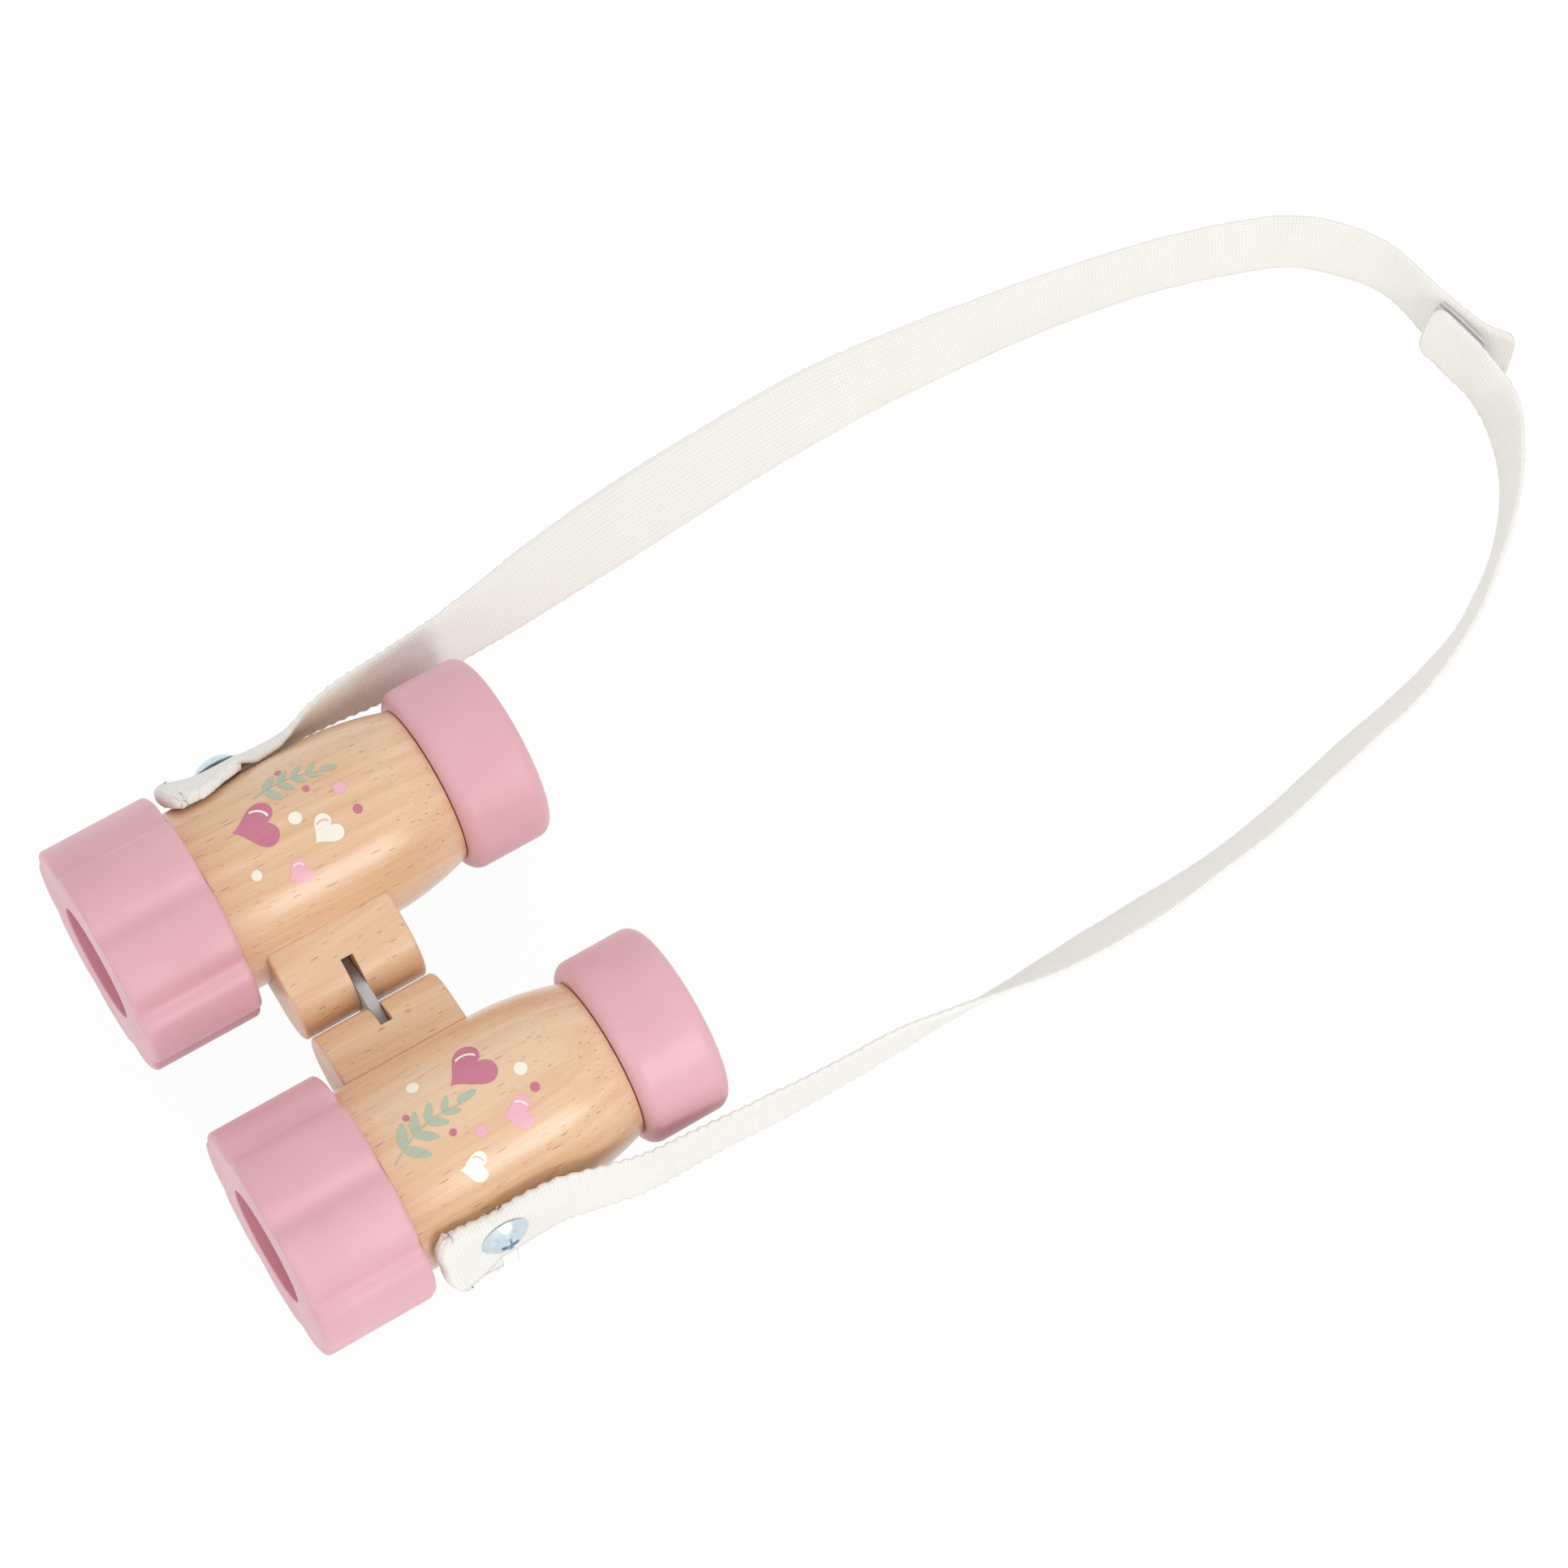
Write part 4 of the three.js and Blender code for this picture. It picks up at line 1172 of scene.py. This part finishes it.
class BINOCULARS_OT_straps(bpy.types.Operator):
    """Weave both halves of the neck strap along their routes"""

    bl_idname = "binoculars.straps"
    bl_label = "Neck strap"

    def execute(self, context):
        sizes = context.scene.binocular_sizes
        strap = context.scene.strap_sizes
        for word, side in HALVES:
            tab, run = strap_spots(sizes, strap, side)
            spots = tab + run
            folds = [i for i, spot in enumerate(tab) if abs(spot.out.dot(spot.radial)) < 0.98]
            shape = strap_shape(strap, side, spots, folds)
            bm = band(spots, strap.width, strap.thickness, shape, 15, 1.45)
            piece = finished(
                f"{word}_strap_webbing",
                bm,
                Matrix.Identity(4),
                [cotton()],
                None,
                [f"{word}_strap"],
                180,
            )
            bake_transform(piece)
        return {"FINISHED"}


class BINOCULARS_OT_closure(bpy.types.Operator):
    """Lay the hook patch and the loop patch between the strap's ends"""

    bl_idname = "binoculars.closure"
    bl_label = "Strap closure"

    def execute(self, context):
        strap = context.scene.strap_sizes
        for word, offset in (("hook", -strap.patch_offset), ("loop", strap.patch_offset)):
            spots = route_spots(joint_values(offset)[:4], -1, strap.row_step)
            bm = band(spots, strap.patch_width, strap.patch_thickness, pad_shape(offset))
            node = f"strap_{word}_patch"
            finished(f"strap_{word}_pad", bm, Matrix.Identity(4), [nylon()], "bridge", [node])
        return {"FINISHED"}


class BINOCULARS_OT_objective_rings(bpy.types.Operator):
    """Turn both objective rings and scallop them"""

    bl_idname = "binoculars.objective_rings"
    bl_label = "Objective rings"

    def execute(self, context):
        sizes = context.scene.binocular_sizes
        for half in HALVES:
            bm = spun(self.profile(sizes), LOBED_STEPS)
            bmesh.ops.rotate(bm, matrix=Matrix.Rotation(sizes.lobe_phase, 3, "Y"), verts=bm.verts)
            self.scallop(sizes, bm)
            # The bore's wall takes the deeper pink, painted shade and painted pink reflection
            paint_bore_shade(bm, sizes.objective_bore)
            half_piece(half, "scalloped_ring", bm, ring_paint_and_bore_shade(), "objective_ring", 60, False)
        return {"FINISHED"}

    def profile(self, sizes):
        edge = sizes.objective_edge
        mouth = sizes.objective_mouth
        bore = sizes.objective_bore
        rim = sizes.lobe_radius - edge
        back = sizes.objective_length
        # Rings of points on the flat faces keep the pull of the grooves off the bore
        profile = arc((bore + mouth, mouth), mouth, 180, 270, 6)
        profile += [(bore + mouth + 0.4 * MM, 0), (18 * MM, 0), (20.5 * MM, 0), (rim - 0.3 * MM, 0)]
        profile += arc((rim, edge), edge, 270, 360, 8)
        profile += [(sizes.lobe_radius, back * share) for share in (0.3, 0.5, 0.7)]
        profile += arc((rim, back - edge), edge, 0, 90, 8)
        profile += [(rim - 0.3 * MM, back), (18 * MM, back), (sizes.front_socket, back)]
        profile += [(sizes.front_socket, sizes.objective_lip), (bore, sizes.objective_lip)]
        return profile

    def scallop(self, sizes, bm):
        """Press soft grooves into the round rim, fading out towards the bore."""
        inner = sizes.front_socket + 0.6 * MM
        outer = sizes.lobe_radius - sizes.objective_edge - 1.0 * MM
        pitch = math.tau / LOBES
        for vert in bm.verts:
            radius = math.hypot(vert.co.x, vert.co.z)
            weight = smooth_step(inner, outer, radius)
            angle = math.atan2(vert.co.x, vert.co.z) - sizes.lobe_phase
            away = min(angle % pitch, pitch - angle % pitch) * sizes.lobe_radius
            swell = 1 - math.exp(-((away / sizes.groove_width) ** 2))
            wanted = sizes.valley_radius + (sizes.lobe_radius - sizes.valley_radius) * swell
            scale = 1 - weight * (1 - wanted / sizes.lobe_radius)
            vert.co.x *= scale
            vert.co.z *= scale


class BINOCULARS_OT_barrels(bpy.types.Operator):
    """Turn both beech barrels"""

    bl_idname = "binoculars.barrels"
    bl_label = "Barrels"

    def execute(self, context):
        sizes = context.scene.binocular_sizes
        cuts = {
            1: ((0.013, 0.02, 0.004), (0.05, 0.02, -0.035), (0.052, 0.062)),
            -1: ((0.031, -0.04, 0.02), (0.085, 0.0, 0.03), (-0.046, 0.07)),
        }
        for half in HALVES:
            word, side = half
            bm = spun(self.profile(sizes), BARREL_STEPS)
            wood = beech(f"Barrel beech {word}", *cuts[side])
            half_piece(half, "turned_barrel", bm, [wood], "barrel")
        return {"FINISHED"}

    def profile(self, sizes):
        gap = sizes.joint_gap
        front = sizes.objective_length + gap
        back = sizes.total_length - sizes.eyepiece_length - gap
        bend = sizes.objective_length + sizes.barrel_straight
        rear = sizes.total_length - sizes.eyepiece_lip - sizes.lens_rim - 2 * LENS_PLAY
        nose = sizes.objective_lip + sizes.lens_rim + 2 * LENS_PLAY
        spigot = sizes.front_socket - gap
        rear_spigot = sizes.rear_socket - gap
        ease = 0.35 * MM
        steps = 28
        swell = [bend + (back - bend) * i / steps for i in range(1, steps + 1)]
        profile = [(sizes.barrel_bore, nose), (spigot, nose), (spigot, front)]
        profile += arc((sizes.barrel_radius - ease, front + ease), ease, 270, 360, 4)
        profile += [(sizes.barrel_radius, bend - 14 * MM), (sizes.barrel_radius, bend)]
        profile += [(barrel_radius_at(sizes, y), y) for y in swell]
        profile += [(rear_spigot, back), (rear_spigot, rear), (sizes.barrel_bore, rear)]
        return profile


class BINOCULARS_OT_eyepiece_rings(bpy.types.Operator):
    """Turn both eyepiece rings"""

    bl_idname = "binoculars.eyepiece_rings"
    bl_label = "Eyepiece rings"

    def execute(self, context):
        sizes = context.scene.binocular_sizes
        for half in HALVES:
            bm = spun(self.profile(sizes), BARREL_STEPS)
            # The bore's wall takes the deeper pink, painted shade and painted pink reflection
            paint_bore_shade(bm, sizes.eyepiece_bore)
            half_piece(half, "rounded_ring", bm, ring_paint_and_bore_shade(), "eyepiece_ring")
        return {"FINISHED"}

    def profile(self, sizes):
        front = sizes.total_length - sizes.eyepiece_length
        back = sizes.total_length
        edge = sizes.eyepiece_edge
        mouth = sizes.eyepiece_mouth
        rim = sizes.eyepiece_radius - edge
        bore = sizes.eyepiece_bore
        lip = back - sizes.eyepiece_lip
        profile = [(sizes.rear_socket, front), (rim - 0.4 * MM, front)]
        profile += arc((rim, front + edge), edge, 270, 360, 10)
        profile += [(sizes.eyepiece_radius, (front + back) / 2)]
        profile += arc((rim, back - edge), edge, 0, 90, 10)
        profile += [(rim - 0.4 * MM, back), (bore + mouth + 0.4 * MM, back)]
        profile += arc((bore + mouth, back - mouth), mouth, 90, 180, 6)
        profile += [(bore, lip), (sizes.rear_socket, lip)]
        return profile


class BINOCULARS_OT_lenses(bpy.types.Operator):
    """Turn the four clear lens discs"""

    bl_idname = "binoculars.lenses"
    bl_label = "Lens discs"

    def execute(self, context):
        sizes = context.scene.binocular_sizes
        rear = sizes.total_length - sizes.eyepiece_lip - LENS_PLAY - sizes.lens_rim
        discs = (
            ("objective", sizes.front_socket - LENS_PLAY, sizes.objective_lip + LENS_PLAY),
            ("eyepiece", sizes.rear_socket - LENS_PLAY, rear),
        )
        for half in HALVES:
            for end, radius, start in discs:
                bm = spun(self.profile(sizes, radius, start), DISC_STEPS, False)
                half_piece(half, f"{end}_disc", bm, [clear_acrylic()], f"{end}_lens")
        return {"FINISHED"}

    def profile(self, sizes, radius, start):
        end = start + sizes.lens_rim
        crown = radius - LENS_LAND
        shares = [i / 10 for i in range(11)]
        near = [(crown * share, start - sizes.lens_crown * (1 - share ** 2)) for share in shares]
        far = [(crown * share, end + sizes.lens_crown * (1 - share ** 2)) for share in reversed(shares)]
        return near + [(radius, start), (radius, end)] + far


class BINOCULARS_OT_hinge_blocks(bpy.types.Operator):
    """Shape both hinge blocks: knuckle, saddle, slot and pin hole"""

    bl_idname = "binoculars.hinge_blocks"
    bl_label = "Hinge blocks"

    def execute(self, context):
        sizes = context.scene.binocular_sizes
        cuts = {
            1: ((0.05, 0.013, 0.03), (0.06, 0.0, 0.02), (0.05, -0.05)),
            -1: ((0.02, 0.07, -0.01), (0.06, 0.0, -0.045), (-0.06, -0.03)),
        }
        for half in HALVES:
            word, side = half
            bm = carved(self.blank(sizes), self.cutters(sizes))
            if side < 0:
                bmesh.ops.scale(bm, vec=(-1, 1, 1), verts=bm.verts)
                bmesh.ops.recalc_face_normals(bm, faces=bm.faces)
            wood = beech(f"Block beech {word}", *cuts[side], True)
            half_piece(half, "knuckle_block", bm, [wood], "hinge_block", 30)
        return {"FINISHED"}

    def blank(self, sizes):
        """The block on the +X barrel: its knuckle points to -X."""
        knuckle = sizes.block_thickness / 2
        pin = -sizes.hinge_arm
        inner = -0.7 * sizes.barrel_radius
        front = sizes.block_front
        bm = bmesh.new()
        top = bm.verts.new((pin, front, knuckle))
        bmesh.ops.spin(
            bm, geom=[top], cent=(pin, front, 0), axis=(0, -1, 0), angle=math.pi, steps=40, use_merge=False
        )
        bmesh.ops.remove_doubles(bm, verts=bm.verts, dist=MERGE)
        ends = [vert for vert in bm.verts if len(vert.link_edges) == 1]
        ends.sort(key=lambda vert: vert.co.z)
        corners = [bm.verts.new((inner, front, end.co.z)) for end in ends]
        for end, corner in zip(ends, corners):
            bm.edges.new((end, corner))
        bm.edges.new(corners)
        bmesh.ops.contextual_create(bm, geom=bm.edges[:])
        return thickened(bm, sizes.block_length, sizes.block_edge, 4)

    def cutters(self, sizes):
        """The barrel's saddle, the link's round slot with its open mouth, and the pin's hole."""
        pin = -sizes.hinge_arm
        front = sizes.block_front
        back = front + sizes.block_length
        middle = (front + back) / 2
        half = sizes.slot_width / 2
        floor = pin - (sizes.slot_cutter - sizes.slot_reach)
        wood = sizes.barrel_radius + SADDLE_PLAY
        saddle = rod(wood, front - CUT_PAST, back + CUT_PAST, (0, 0), BARREL_STEPS)
        slot = rod(sizes.slot_cutter, middle - half, middle + half, (floor, 0), DISC_STEPS)
        mouth = bar(
            (floor - 2 * sizes.slot_cutter, middle - half, -sizes.slot_cutter),
            (floor, middle + half, sizes.slot_cutter),
        )
        start = back - sizes.pin_recess - sizes.pin_length - PIN_END_PLAY
        hole = rod(sizes.pin_radius + PIN_PLAY, start, back + CUT_PAST / 2, (pin, 0), HOLE_STEPS)
        return [saddle, slot, mouth, hole]


class BINOCULARS_OT_hinge_link(bpy.types.Operator):
    """Cut the steel link plate that stands in both slots"""

    bl_idname = "binoculars.hinge_link"
    bl_label = "Hinge link"

    def execute(self, context):
        sizes = context.scene.binocular_sizes
        middle = sizes.block_front + sizes.block_length / 2
        reach = sizes.link_thickness
        eye = sizes.pin_radius + PIN_PLAY
        eyes = [rod(eye, -reach, reach, (x, 0), HOLE_STEPS) for x in (-sizes.pin_half, sizes.pin_half)]
        bm = carved(self.plate(sizes), eyes)
        place = pair_place(sizes) @ Matrix.Translation((0, middle, -sizes.link_drop))
        finished("steel_link", bm, place, [steel()], "bridge", ["hinge_link"], 30)
        return {"FINISHED"}

    def plate(self, sizes):
        """The plate between its round ends, whose top and bottom rise to a crown."""
        bm = bmesh.new()
        steps = 12
        outline = []
        for x, start in ((sizes.pin_half, -60), (-sizes.pin_half, 120)):
            outline += arc((x, 0), sizes.link_end, start, start + 120, 20)
            sign = 1 if x > 0 else -1
            for i in range(2 * steps + 1):
                share = 1 - i / steps
                rise = 0.5 + 0.5 * math.cos(share * math.pi)
                height = sizes.link_shoulder + (sizes.link_crown - sizes.link_shoulder) * rise
                outline.append((sign * share * sizes.pin_half, sign * height))
        bm.faces.new([bm.verts.new((x, -sizes.link_thickness / 2, z)) for x, z in outline])
        return thickened(bm, sizes.link_thickness, LINK_EDGE, 3)


class BINOCULARS_OT_strap_screws(bpy.types.Operator):
    """Turn both strap screws and cut their cross recess"""

    bl_idname = "binoculars.strap_screws"
    bl_label = "Strap screws"

    def execute(self, context):
        sizes = context.scene.binocular_sizes
        for word, side in HALVES:
            bm = carved(spun(self.profile(sizes), SCREW_STEPS, False), self.recess(sizes))
            lie = Matrix.Translation((0, sizes.screw_place, 0))
            lie = lie @ Matrix.Rotation(-side * math.pi / 2, 4, "Z")
            finished(
                f"{word}_domed_screw",
                bm,
                half_place(sizes, side) @ lie,
                [zinc()],
                f"{word}_half",
                [f"{word}_strap_screw"],
                32,
            )
        return {"FINISHED"}

    def profile(self, sizes):
        """Shank and dome, from the tip out along the axis."""
        rise = sizes.head_height
        seat = sizes.head_seat
        crown = (sizes.head_radius ** 2 + rise ** 2) / (2 * rise)
        half = math.degrees(math.asin(sizes.head_radius / crown))
        dome = arc((0, seat + rise - crown), crown, 92 - half, 90, 14)
        dome[-1] = (0, dome[-1][1])
        tip = sizes.barrel_radius - SCREW_DEPTH
        shank = sizes.shank_radius
        rim = [(sizes.head_radius - 0.25 * MM, seat), (sizes.head_radius, seat + 0.12 * MM)]
        return [(0, tip), (shank * 0.5, tip), (shank, tip + 1.2 * MM), (shank, seat)] + rim + dome

    def recess(self, sizes):
        """Two crossed bars that narrow towards the recess's floor."""
        floor = sizes.head_seat + sizes.head_height - sizes.recess_depth
        top = floor + 2 * sizes.recess_depth
        cutters = []
        for wide, deep in ((sizes.recess_span, sizes.recess_width), (sizes.recess_width, sizes.recess_span)):
            cutter = bar((-wide / 2, floor, -deep / 2), (wide / 2, top, deep / 2))
            for vert in cutter.verts:
                if vert.co.y < floor + 1e-6:
                    vert.co.x *= 0.62
                    vert.co.z *= 0.8
            cutters.append(cutter)
        return cutters


class BINOCULARS_OT_hidden_hardware(bpy.types.Operator):
    """Give the pins and dowels of the CAD model their finishes"""

    bl_idname = "binoculars.hidden_hardware"
    bl_label = "Pins and dowels"

    def execute(self, context):
        dowel_beech = beech("Dowel beech", (0.01, 0.02, 0.05), (0, 0, math.pi / 2), (0.02, 0.03))
        finishes = {"hinge_pin": steel(), "front_dowel": dowel_beech, "rear_dowel": dowel_beech}
        for word, _ in HALVES:
            for part, material in finishes.items():
                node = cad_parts[f"{word}_{part}"]
                node.data.materials.clear()
                node.data.materials.append(material)
        return {"FINISHED"}


# The print of each side: motif, ink, place along and around the barrel, turn in degrees, size
PRINT_LAYOUTS = {
    1: [
        ("sprig", 3, 36.0, 6.0, 104, 18.0),
        ("heart", 0, 49.0, -1.6, 15, 10.6),
        ("heart", 2, 40.5, 16.2, -20, 6.4),
        ("heart", 1, 53.0, 11.0, -14, 6.8),
        ("dot", 2, 58.0, 3.6, 0, 1.4),
        ("dot", 1, 45.2, 10.6, 0, 1.2),
        ("dot", 0, 58.6, 8.2, 0, 1.0),
        ("dot", 2, 38.2, -4.4, 0, 1.3),
    ],
    -1: [
        ("heart", 0, 38.6, -4.6, -12, 10.2),
        ("heart", 2, 50.4, 3.4, 22, 6.8),
        ("sprig", 3, 49.0, -9.6, 82, 15.0),
        ("heart", 1, 41.8, 8.2, 10, 5.6),
        ("dot", 2, 46.6, -2.0, 0, 1.4),
        ("dot", 1, 57.4, -3.2, 0, 1.3),
        ("dot", 0, 58.4, 2.4, 0, 1.0),
        ("dot", 2, 34.2, 4.6, 0, 1.1),
    ],
}
# Ink of the brush stroke on a heart of each ink
STROKE_INKS = (2, 2, 1, 2)
# Width of the rim round each motif
MOTIF_RIM = 0.18 * MM
# How far the print's film stands off the wood, and the widest flat strip in its roll
FILM = 0.05 * MM
STRIP = 0.9 * MM


class BINOCULARS_OT_print(bpy.types.Operator):
    """Print hearts, dots and leaf sprigs on both barrels"""

    bl_idname = "binoculars.print"
    bl_label = "Barrel print"

    def execute(self, context):
        sizes = context.scene.binocular_sizes
        colours = context.scene.binocular_colours
        inks = [
            ink("Rose ink", colours.rose, (168, 74, 104)),
            ink("Blush ink", colours.blush, (214, 126, 148)),
            ink("Cream ink", colours.cream, (228, 208, 180)),
            ink("Sage ink", colours.sage, (118, 140, 120)),
        ]
        for half in HALVES:
            bm = bmesh.new()
            layer = bm.loops.layers.uv.new("Motif")
            for kind, colour, along, around, angle, size in PRINT_LAYOUTS[half[1]]:
                place = Matrix.Translation((around * MM, along * MM, 0))
                place = place @ Matrix.Rotation(math.radians(angle), 4, "Z")
                if kind == "heart":
                    self.fill(bm, layer, place, self.heart(size * MM), colour, 0.12 * size * MM)
                    self.stroke(bm, layer, place, size * MM, STROKE_INKS[colour])
                elif kind == "dot":
                    self.fill(bm, layer, place, arc((0, 0), size * MM, 0, 345, 23), colour)
                else:
                    self.sprig(bm, layer, place, size * MM, colour)
            self.wrap(sizes, bm)
            half_piece(half, "barrel_print", bm, inks, None, 60)
        return {"FINISHED"}

    def heart(self, size):
        """Outline of a heart, the same width as its size."""
        steps = 48
        points = []
        for i in range(steps):
            angle = math.tau * i / steps
            x = 16 * math.sin(angle) ** 3
            y = 13 * math.cos(angle) - 5 * math.cos(2 * angle) - 2 * math.cos(3 * angle) - math.cos(4 * angle)
            points.append((x * size / 32, (y + 2.5) * size / 32))
        points.reverse()
        return points

    def leaf(self, size):
        """Outline of a leaf along X, fuller towards its stalk."""
        steps = 32
        points = []
        for i in range(steps):
            angle = math.tau * i / steps
            taper = 0.2 * size * math.sin(angle) * (1 - 0.25 * math.cos(angle))
            points.append((size / 2 * math.cos(angle), taper))
        return points

    def sprig(self, bm, layer, place, size, colour):
        """A bowed stem with leaves in pairs, a leaf at the tip and two berries."""
        steps = 12
        stem = []
        back = []
        for i in range(steps + 1):
            share = i / steps
            x = size * (share - 0.5)
            y = 0.1 * size * math.sin(share * math.pi)
            wide = 0.16 * MM * (1.2 - 0.6 * share)
            stem.append((x, y - wide))
            back.append((x, y + wide))
        self.fill(bm, layer, place, stem + back[::-1], colour)
        for i in range(4):
            share = 0.18 + 0.2 * i
            x = size * (share - 0.5)
            y = 0.1 * size * math.sin(share * math.pi)
            for way in (1, -1):
                long = size * (0.3 - 0.035 * i)
                lie = Matrix.Translation((x, y, 0))
                lie = lie @ Matrix.Rotation(way * math.radians(52 - 5 * i), 4, "Z")
                lie = lie @ Matrix.Translation((long * 0.52, 0, 0))
                self.fill(bm, layer, place @ lie, self.leaf(long), colour)
        tip = Matrix.Translation((size * 0.59, 0.02 * size, 0)) @ Matrix.Rotation(math.radians(-12), 4, "Z")
        self.fill(bm, layer, place @ tip, self.leaf(size * 0.24), colour)
        for x, y in ((-0.05, 0.3), (0.2, -0.17)):
            lie = Matrix.Translation((x * size, y * size, 0))
            self.fill(bm, layer, place @ lie, arc((0, 0), 0.75 * MM, 0, 340, 17), 0)

    def stroke(self, bm, layer, place, size, colour):
        """A thin curved brush stroke inside one side of a heart."""
        inner = arc((-0.05 * size, 0.06 * size), 0.26 * size, 105, 195, 10)
        outer = arc((-0.05 * size, 0.06 * size), 0.31 * size, 190, 110, 10)
        self.fill(bm, layer, place, inner + outer, colour, 0, 0.02 * MM)

    def fill(self, bm, layer, place, outline, colour, wash=0, lift=0):
        """One printed shape, laid out flat as (around, along), with a rim and a wash that fades inwards."""
        face = bm.faces.new([bm.verts.new(place @ Vector((x, y, lift))) for x, y in outline])
        parts = [face]
        shades = {}
        for deep, thickness in ((1.0, MOTIF_RIM), (0.55, wash)):
            if not thickness:
                continue
            inset = bmesh.ops.inset_region(bm, faces=[face], thickness=thickness, use_even_offset=False)
            rim = inset["faces"]
            parts += rim
            inner = set(face.verts)
            for vert in (vert for part in rim for vert in part.verts if vert not in inner):
                shades.setdefault(vert, deep)
        for part in parts:
            part.material_index = colour
            for loop in part.loops:
                loop[layer].uv = (shades.get(loop.vert, 0.0), 0.0)

    def wrap(self, sizes, bm):
        """Roll the flat print onto the barrel, a film's thickness above the wood."""
        bmesh.ops.triangulate(bm, faces=[face for face in bm.faces if len(face.verts) > 4])
        low = min(vert.co.x for vert in bm.verts)
        high = max(vert.co.x for vert in bm.verts)
        steps = int((high - low) / STRIP)
        for i in range(1, steps):
            spot = low + (high - low) * i / steps
            geom = bm.verts[:] + bm.edges[:] + bm.faces[:]
            bmesh.ops.bisect_plane(bm, geom=geom, dist=MERGE, plane_co=(spot, 0, 0), plane_no=(1, 0, 0))
        for vert in bm.verts:
            radius = barrel_radius_at(sizes, vert.co.y)
            angle = vert.co.x / sizes.barrel_radius
            radius += FILM + vert.co.z
            vert.co = (radius * math.sin(angle), vert.co.y, radius * math.cos(angle))
        bmesh.ops.recalc_face_normals(bm, faces=bm.faces)
        for face in bm.faces:
            middle = face.calc_center_median()
            if face.normal.dot(Vector((middle.x, 0, middle.z))) < 0:
                face.normal_flip()


class BINOCULARS_OT_loose_threads(bpy.types.Operator):
    """Leave a few cut yarn ends on the folded tabs"""

    bl_idname = "binoculars.loose_threads"
    bl_label = "Loose yarn ends"

    def execute(self, context):
        strap = context.scene.strap_sizes
        for half in HALVES:
            side = half[1]
            chance = random.Random(40 + side)
            bm = bmesh.new()
            uv = bm.loops.layers.uv.new("Weave")
            for i in range(7):
                y = strap.tab_fold + (1.0 + 2.4 * i + chance.uniform(-0.6, 0.6)) * MM
                high = strap.width / 2 * (1 if i % 3 else -1) + tab_rise_at(strap, side, y)
                reach = chance.uniform(1.2, 4.6) * MM
                self.yarn(bm, side, strap, chance, y, high, reach)
            for face in bm.faces:
                for loop in face.loops:
                    loop[uv].uv = (loop.vert.co.y, loop.vert.co.z)
            half_piece(half, "yarn_ends", bm, [cotton()], None, 180)
        return {"FINISHED"}

    def yarn(self, bm, side, strap, chance, y, high, reach):
        """One thin yarn that springs from the tab's edge."""
        sign = 1 if high > 0 else -1
        drop = strap.top_layer - math.sqrt(strap.top_layer ** 2 - high ** 2) if sign > 0 else 0.0006
        at = Vector((side * (strap.top_layer - drop), y, high))
        way = Vector((side * chance.uniform(-0.1, 0.5), chance.uniform(-0.7, 0.7), sign)).normalized()
        steps = 8
        sides = 5
        ring = []
        for step in range(steps + 1):
            share = step / steps
            bend = Vector((side * chance.uniform(0.0, 0.2), chance.uniform(-0.25, 0.25), -0.12 * sign))
            way = (way + bend * 0.6).normalized()
            if step:
                at = at + way * (reach / steps)
            thick = 0.11 * MM * (1 - 0.55 * share)
            first = way.orthogonal().normalized()
            second = way.cross(first)
            loop = []
            for k in range(sides):
                angle = math.tau * k / sides
                rim = first * (thick * math.cos(angle)) + second * (thick * math.sin(angle))
                loop.append(bm.verts.new(at + rim))
            if ring:
                for k in range(sides):
                    after = (k + 1) % sides
                    bm.faces.new((ring[k], ring[after], loop[after], loop[k]))
            ring = loop
        bm.faces.new(ring)


PROPERTIES = {
    "binocular_sizes": BinocularSizes,
    "strap_sizes": StrapSizes,
    "binocular_colours": BinocularColours,
}

STEPS = (
    BINOCULARS_OT_stage,
    BINOCULARS_OT_straps,
    BINOCULARS_OT_closure,
    BINOCULARS_OT_objective_rings,
    BINOCULARS_OT_barrels,
    BINOCULARS_OT_eyepiece_rings,
    BINOCULARS_OT_lenses,
    BINOCULARS_OT_hinge_blocks,
    BINOCULARS_OT_hinge_link,
    BINOCULARS_OT_strap_screws,
    BINOCULARS_OT_hidden_hardware,
    BINOCULARS_OT_print,
    BINOCULARS_OT_loose_threads,
)


class BINOCULARS_PT_panel(bpy.types.Panel):
    """Sizes, colours and building steps of the binoculars"""

    bl_idname = "BINOCULARS_PT_panel"
    bl_label = "Toy binoculars"
    bl_space_type = "VIEW_3D"
    bl_region_type = "UI"
    bl_category = "Binoculars"

    def draw(self, context):
        layout = self.layout
        for step in STEPS:
            layout.operator(step.bl_idname)
        for group in PROPERTIES:
            values = getattr(context.scene, group)
            box = layout.box()
            for key in values.__annotations__:
                box.prop(values, key)


CLASSES = (*PROPERTIES.values(), *STEPS, BINOCULARS_PT_panel)


def register():
    for kind in CLASSES:
        bpy.utils.register_class(kind)
    for name, kind in PROPERTIES.items():
        setattr(bpy.types.Scene, name, PointerProperty(type=kind))


def unregister():
    for name in PROPERTIES:
        delattr(bpy.types.Scene, name)
    for kind in reversed(CLASSES):
        bpy.utils.unregister_class(kind)


def main():
    register()
    for step in STEPS:
        name = step.bl_idname.partition(".")[2]
        getattr(bpy.ops.binoculars, name)()


if __name__ == "__main__":
    main()
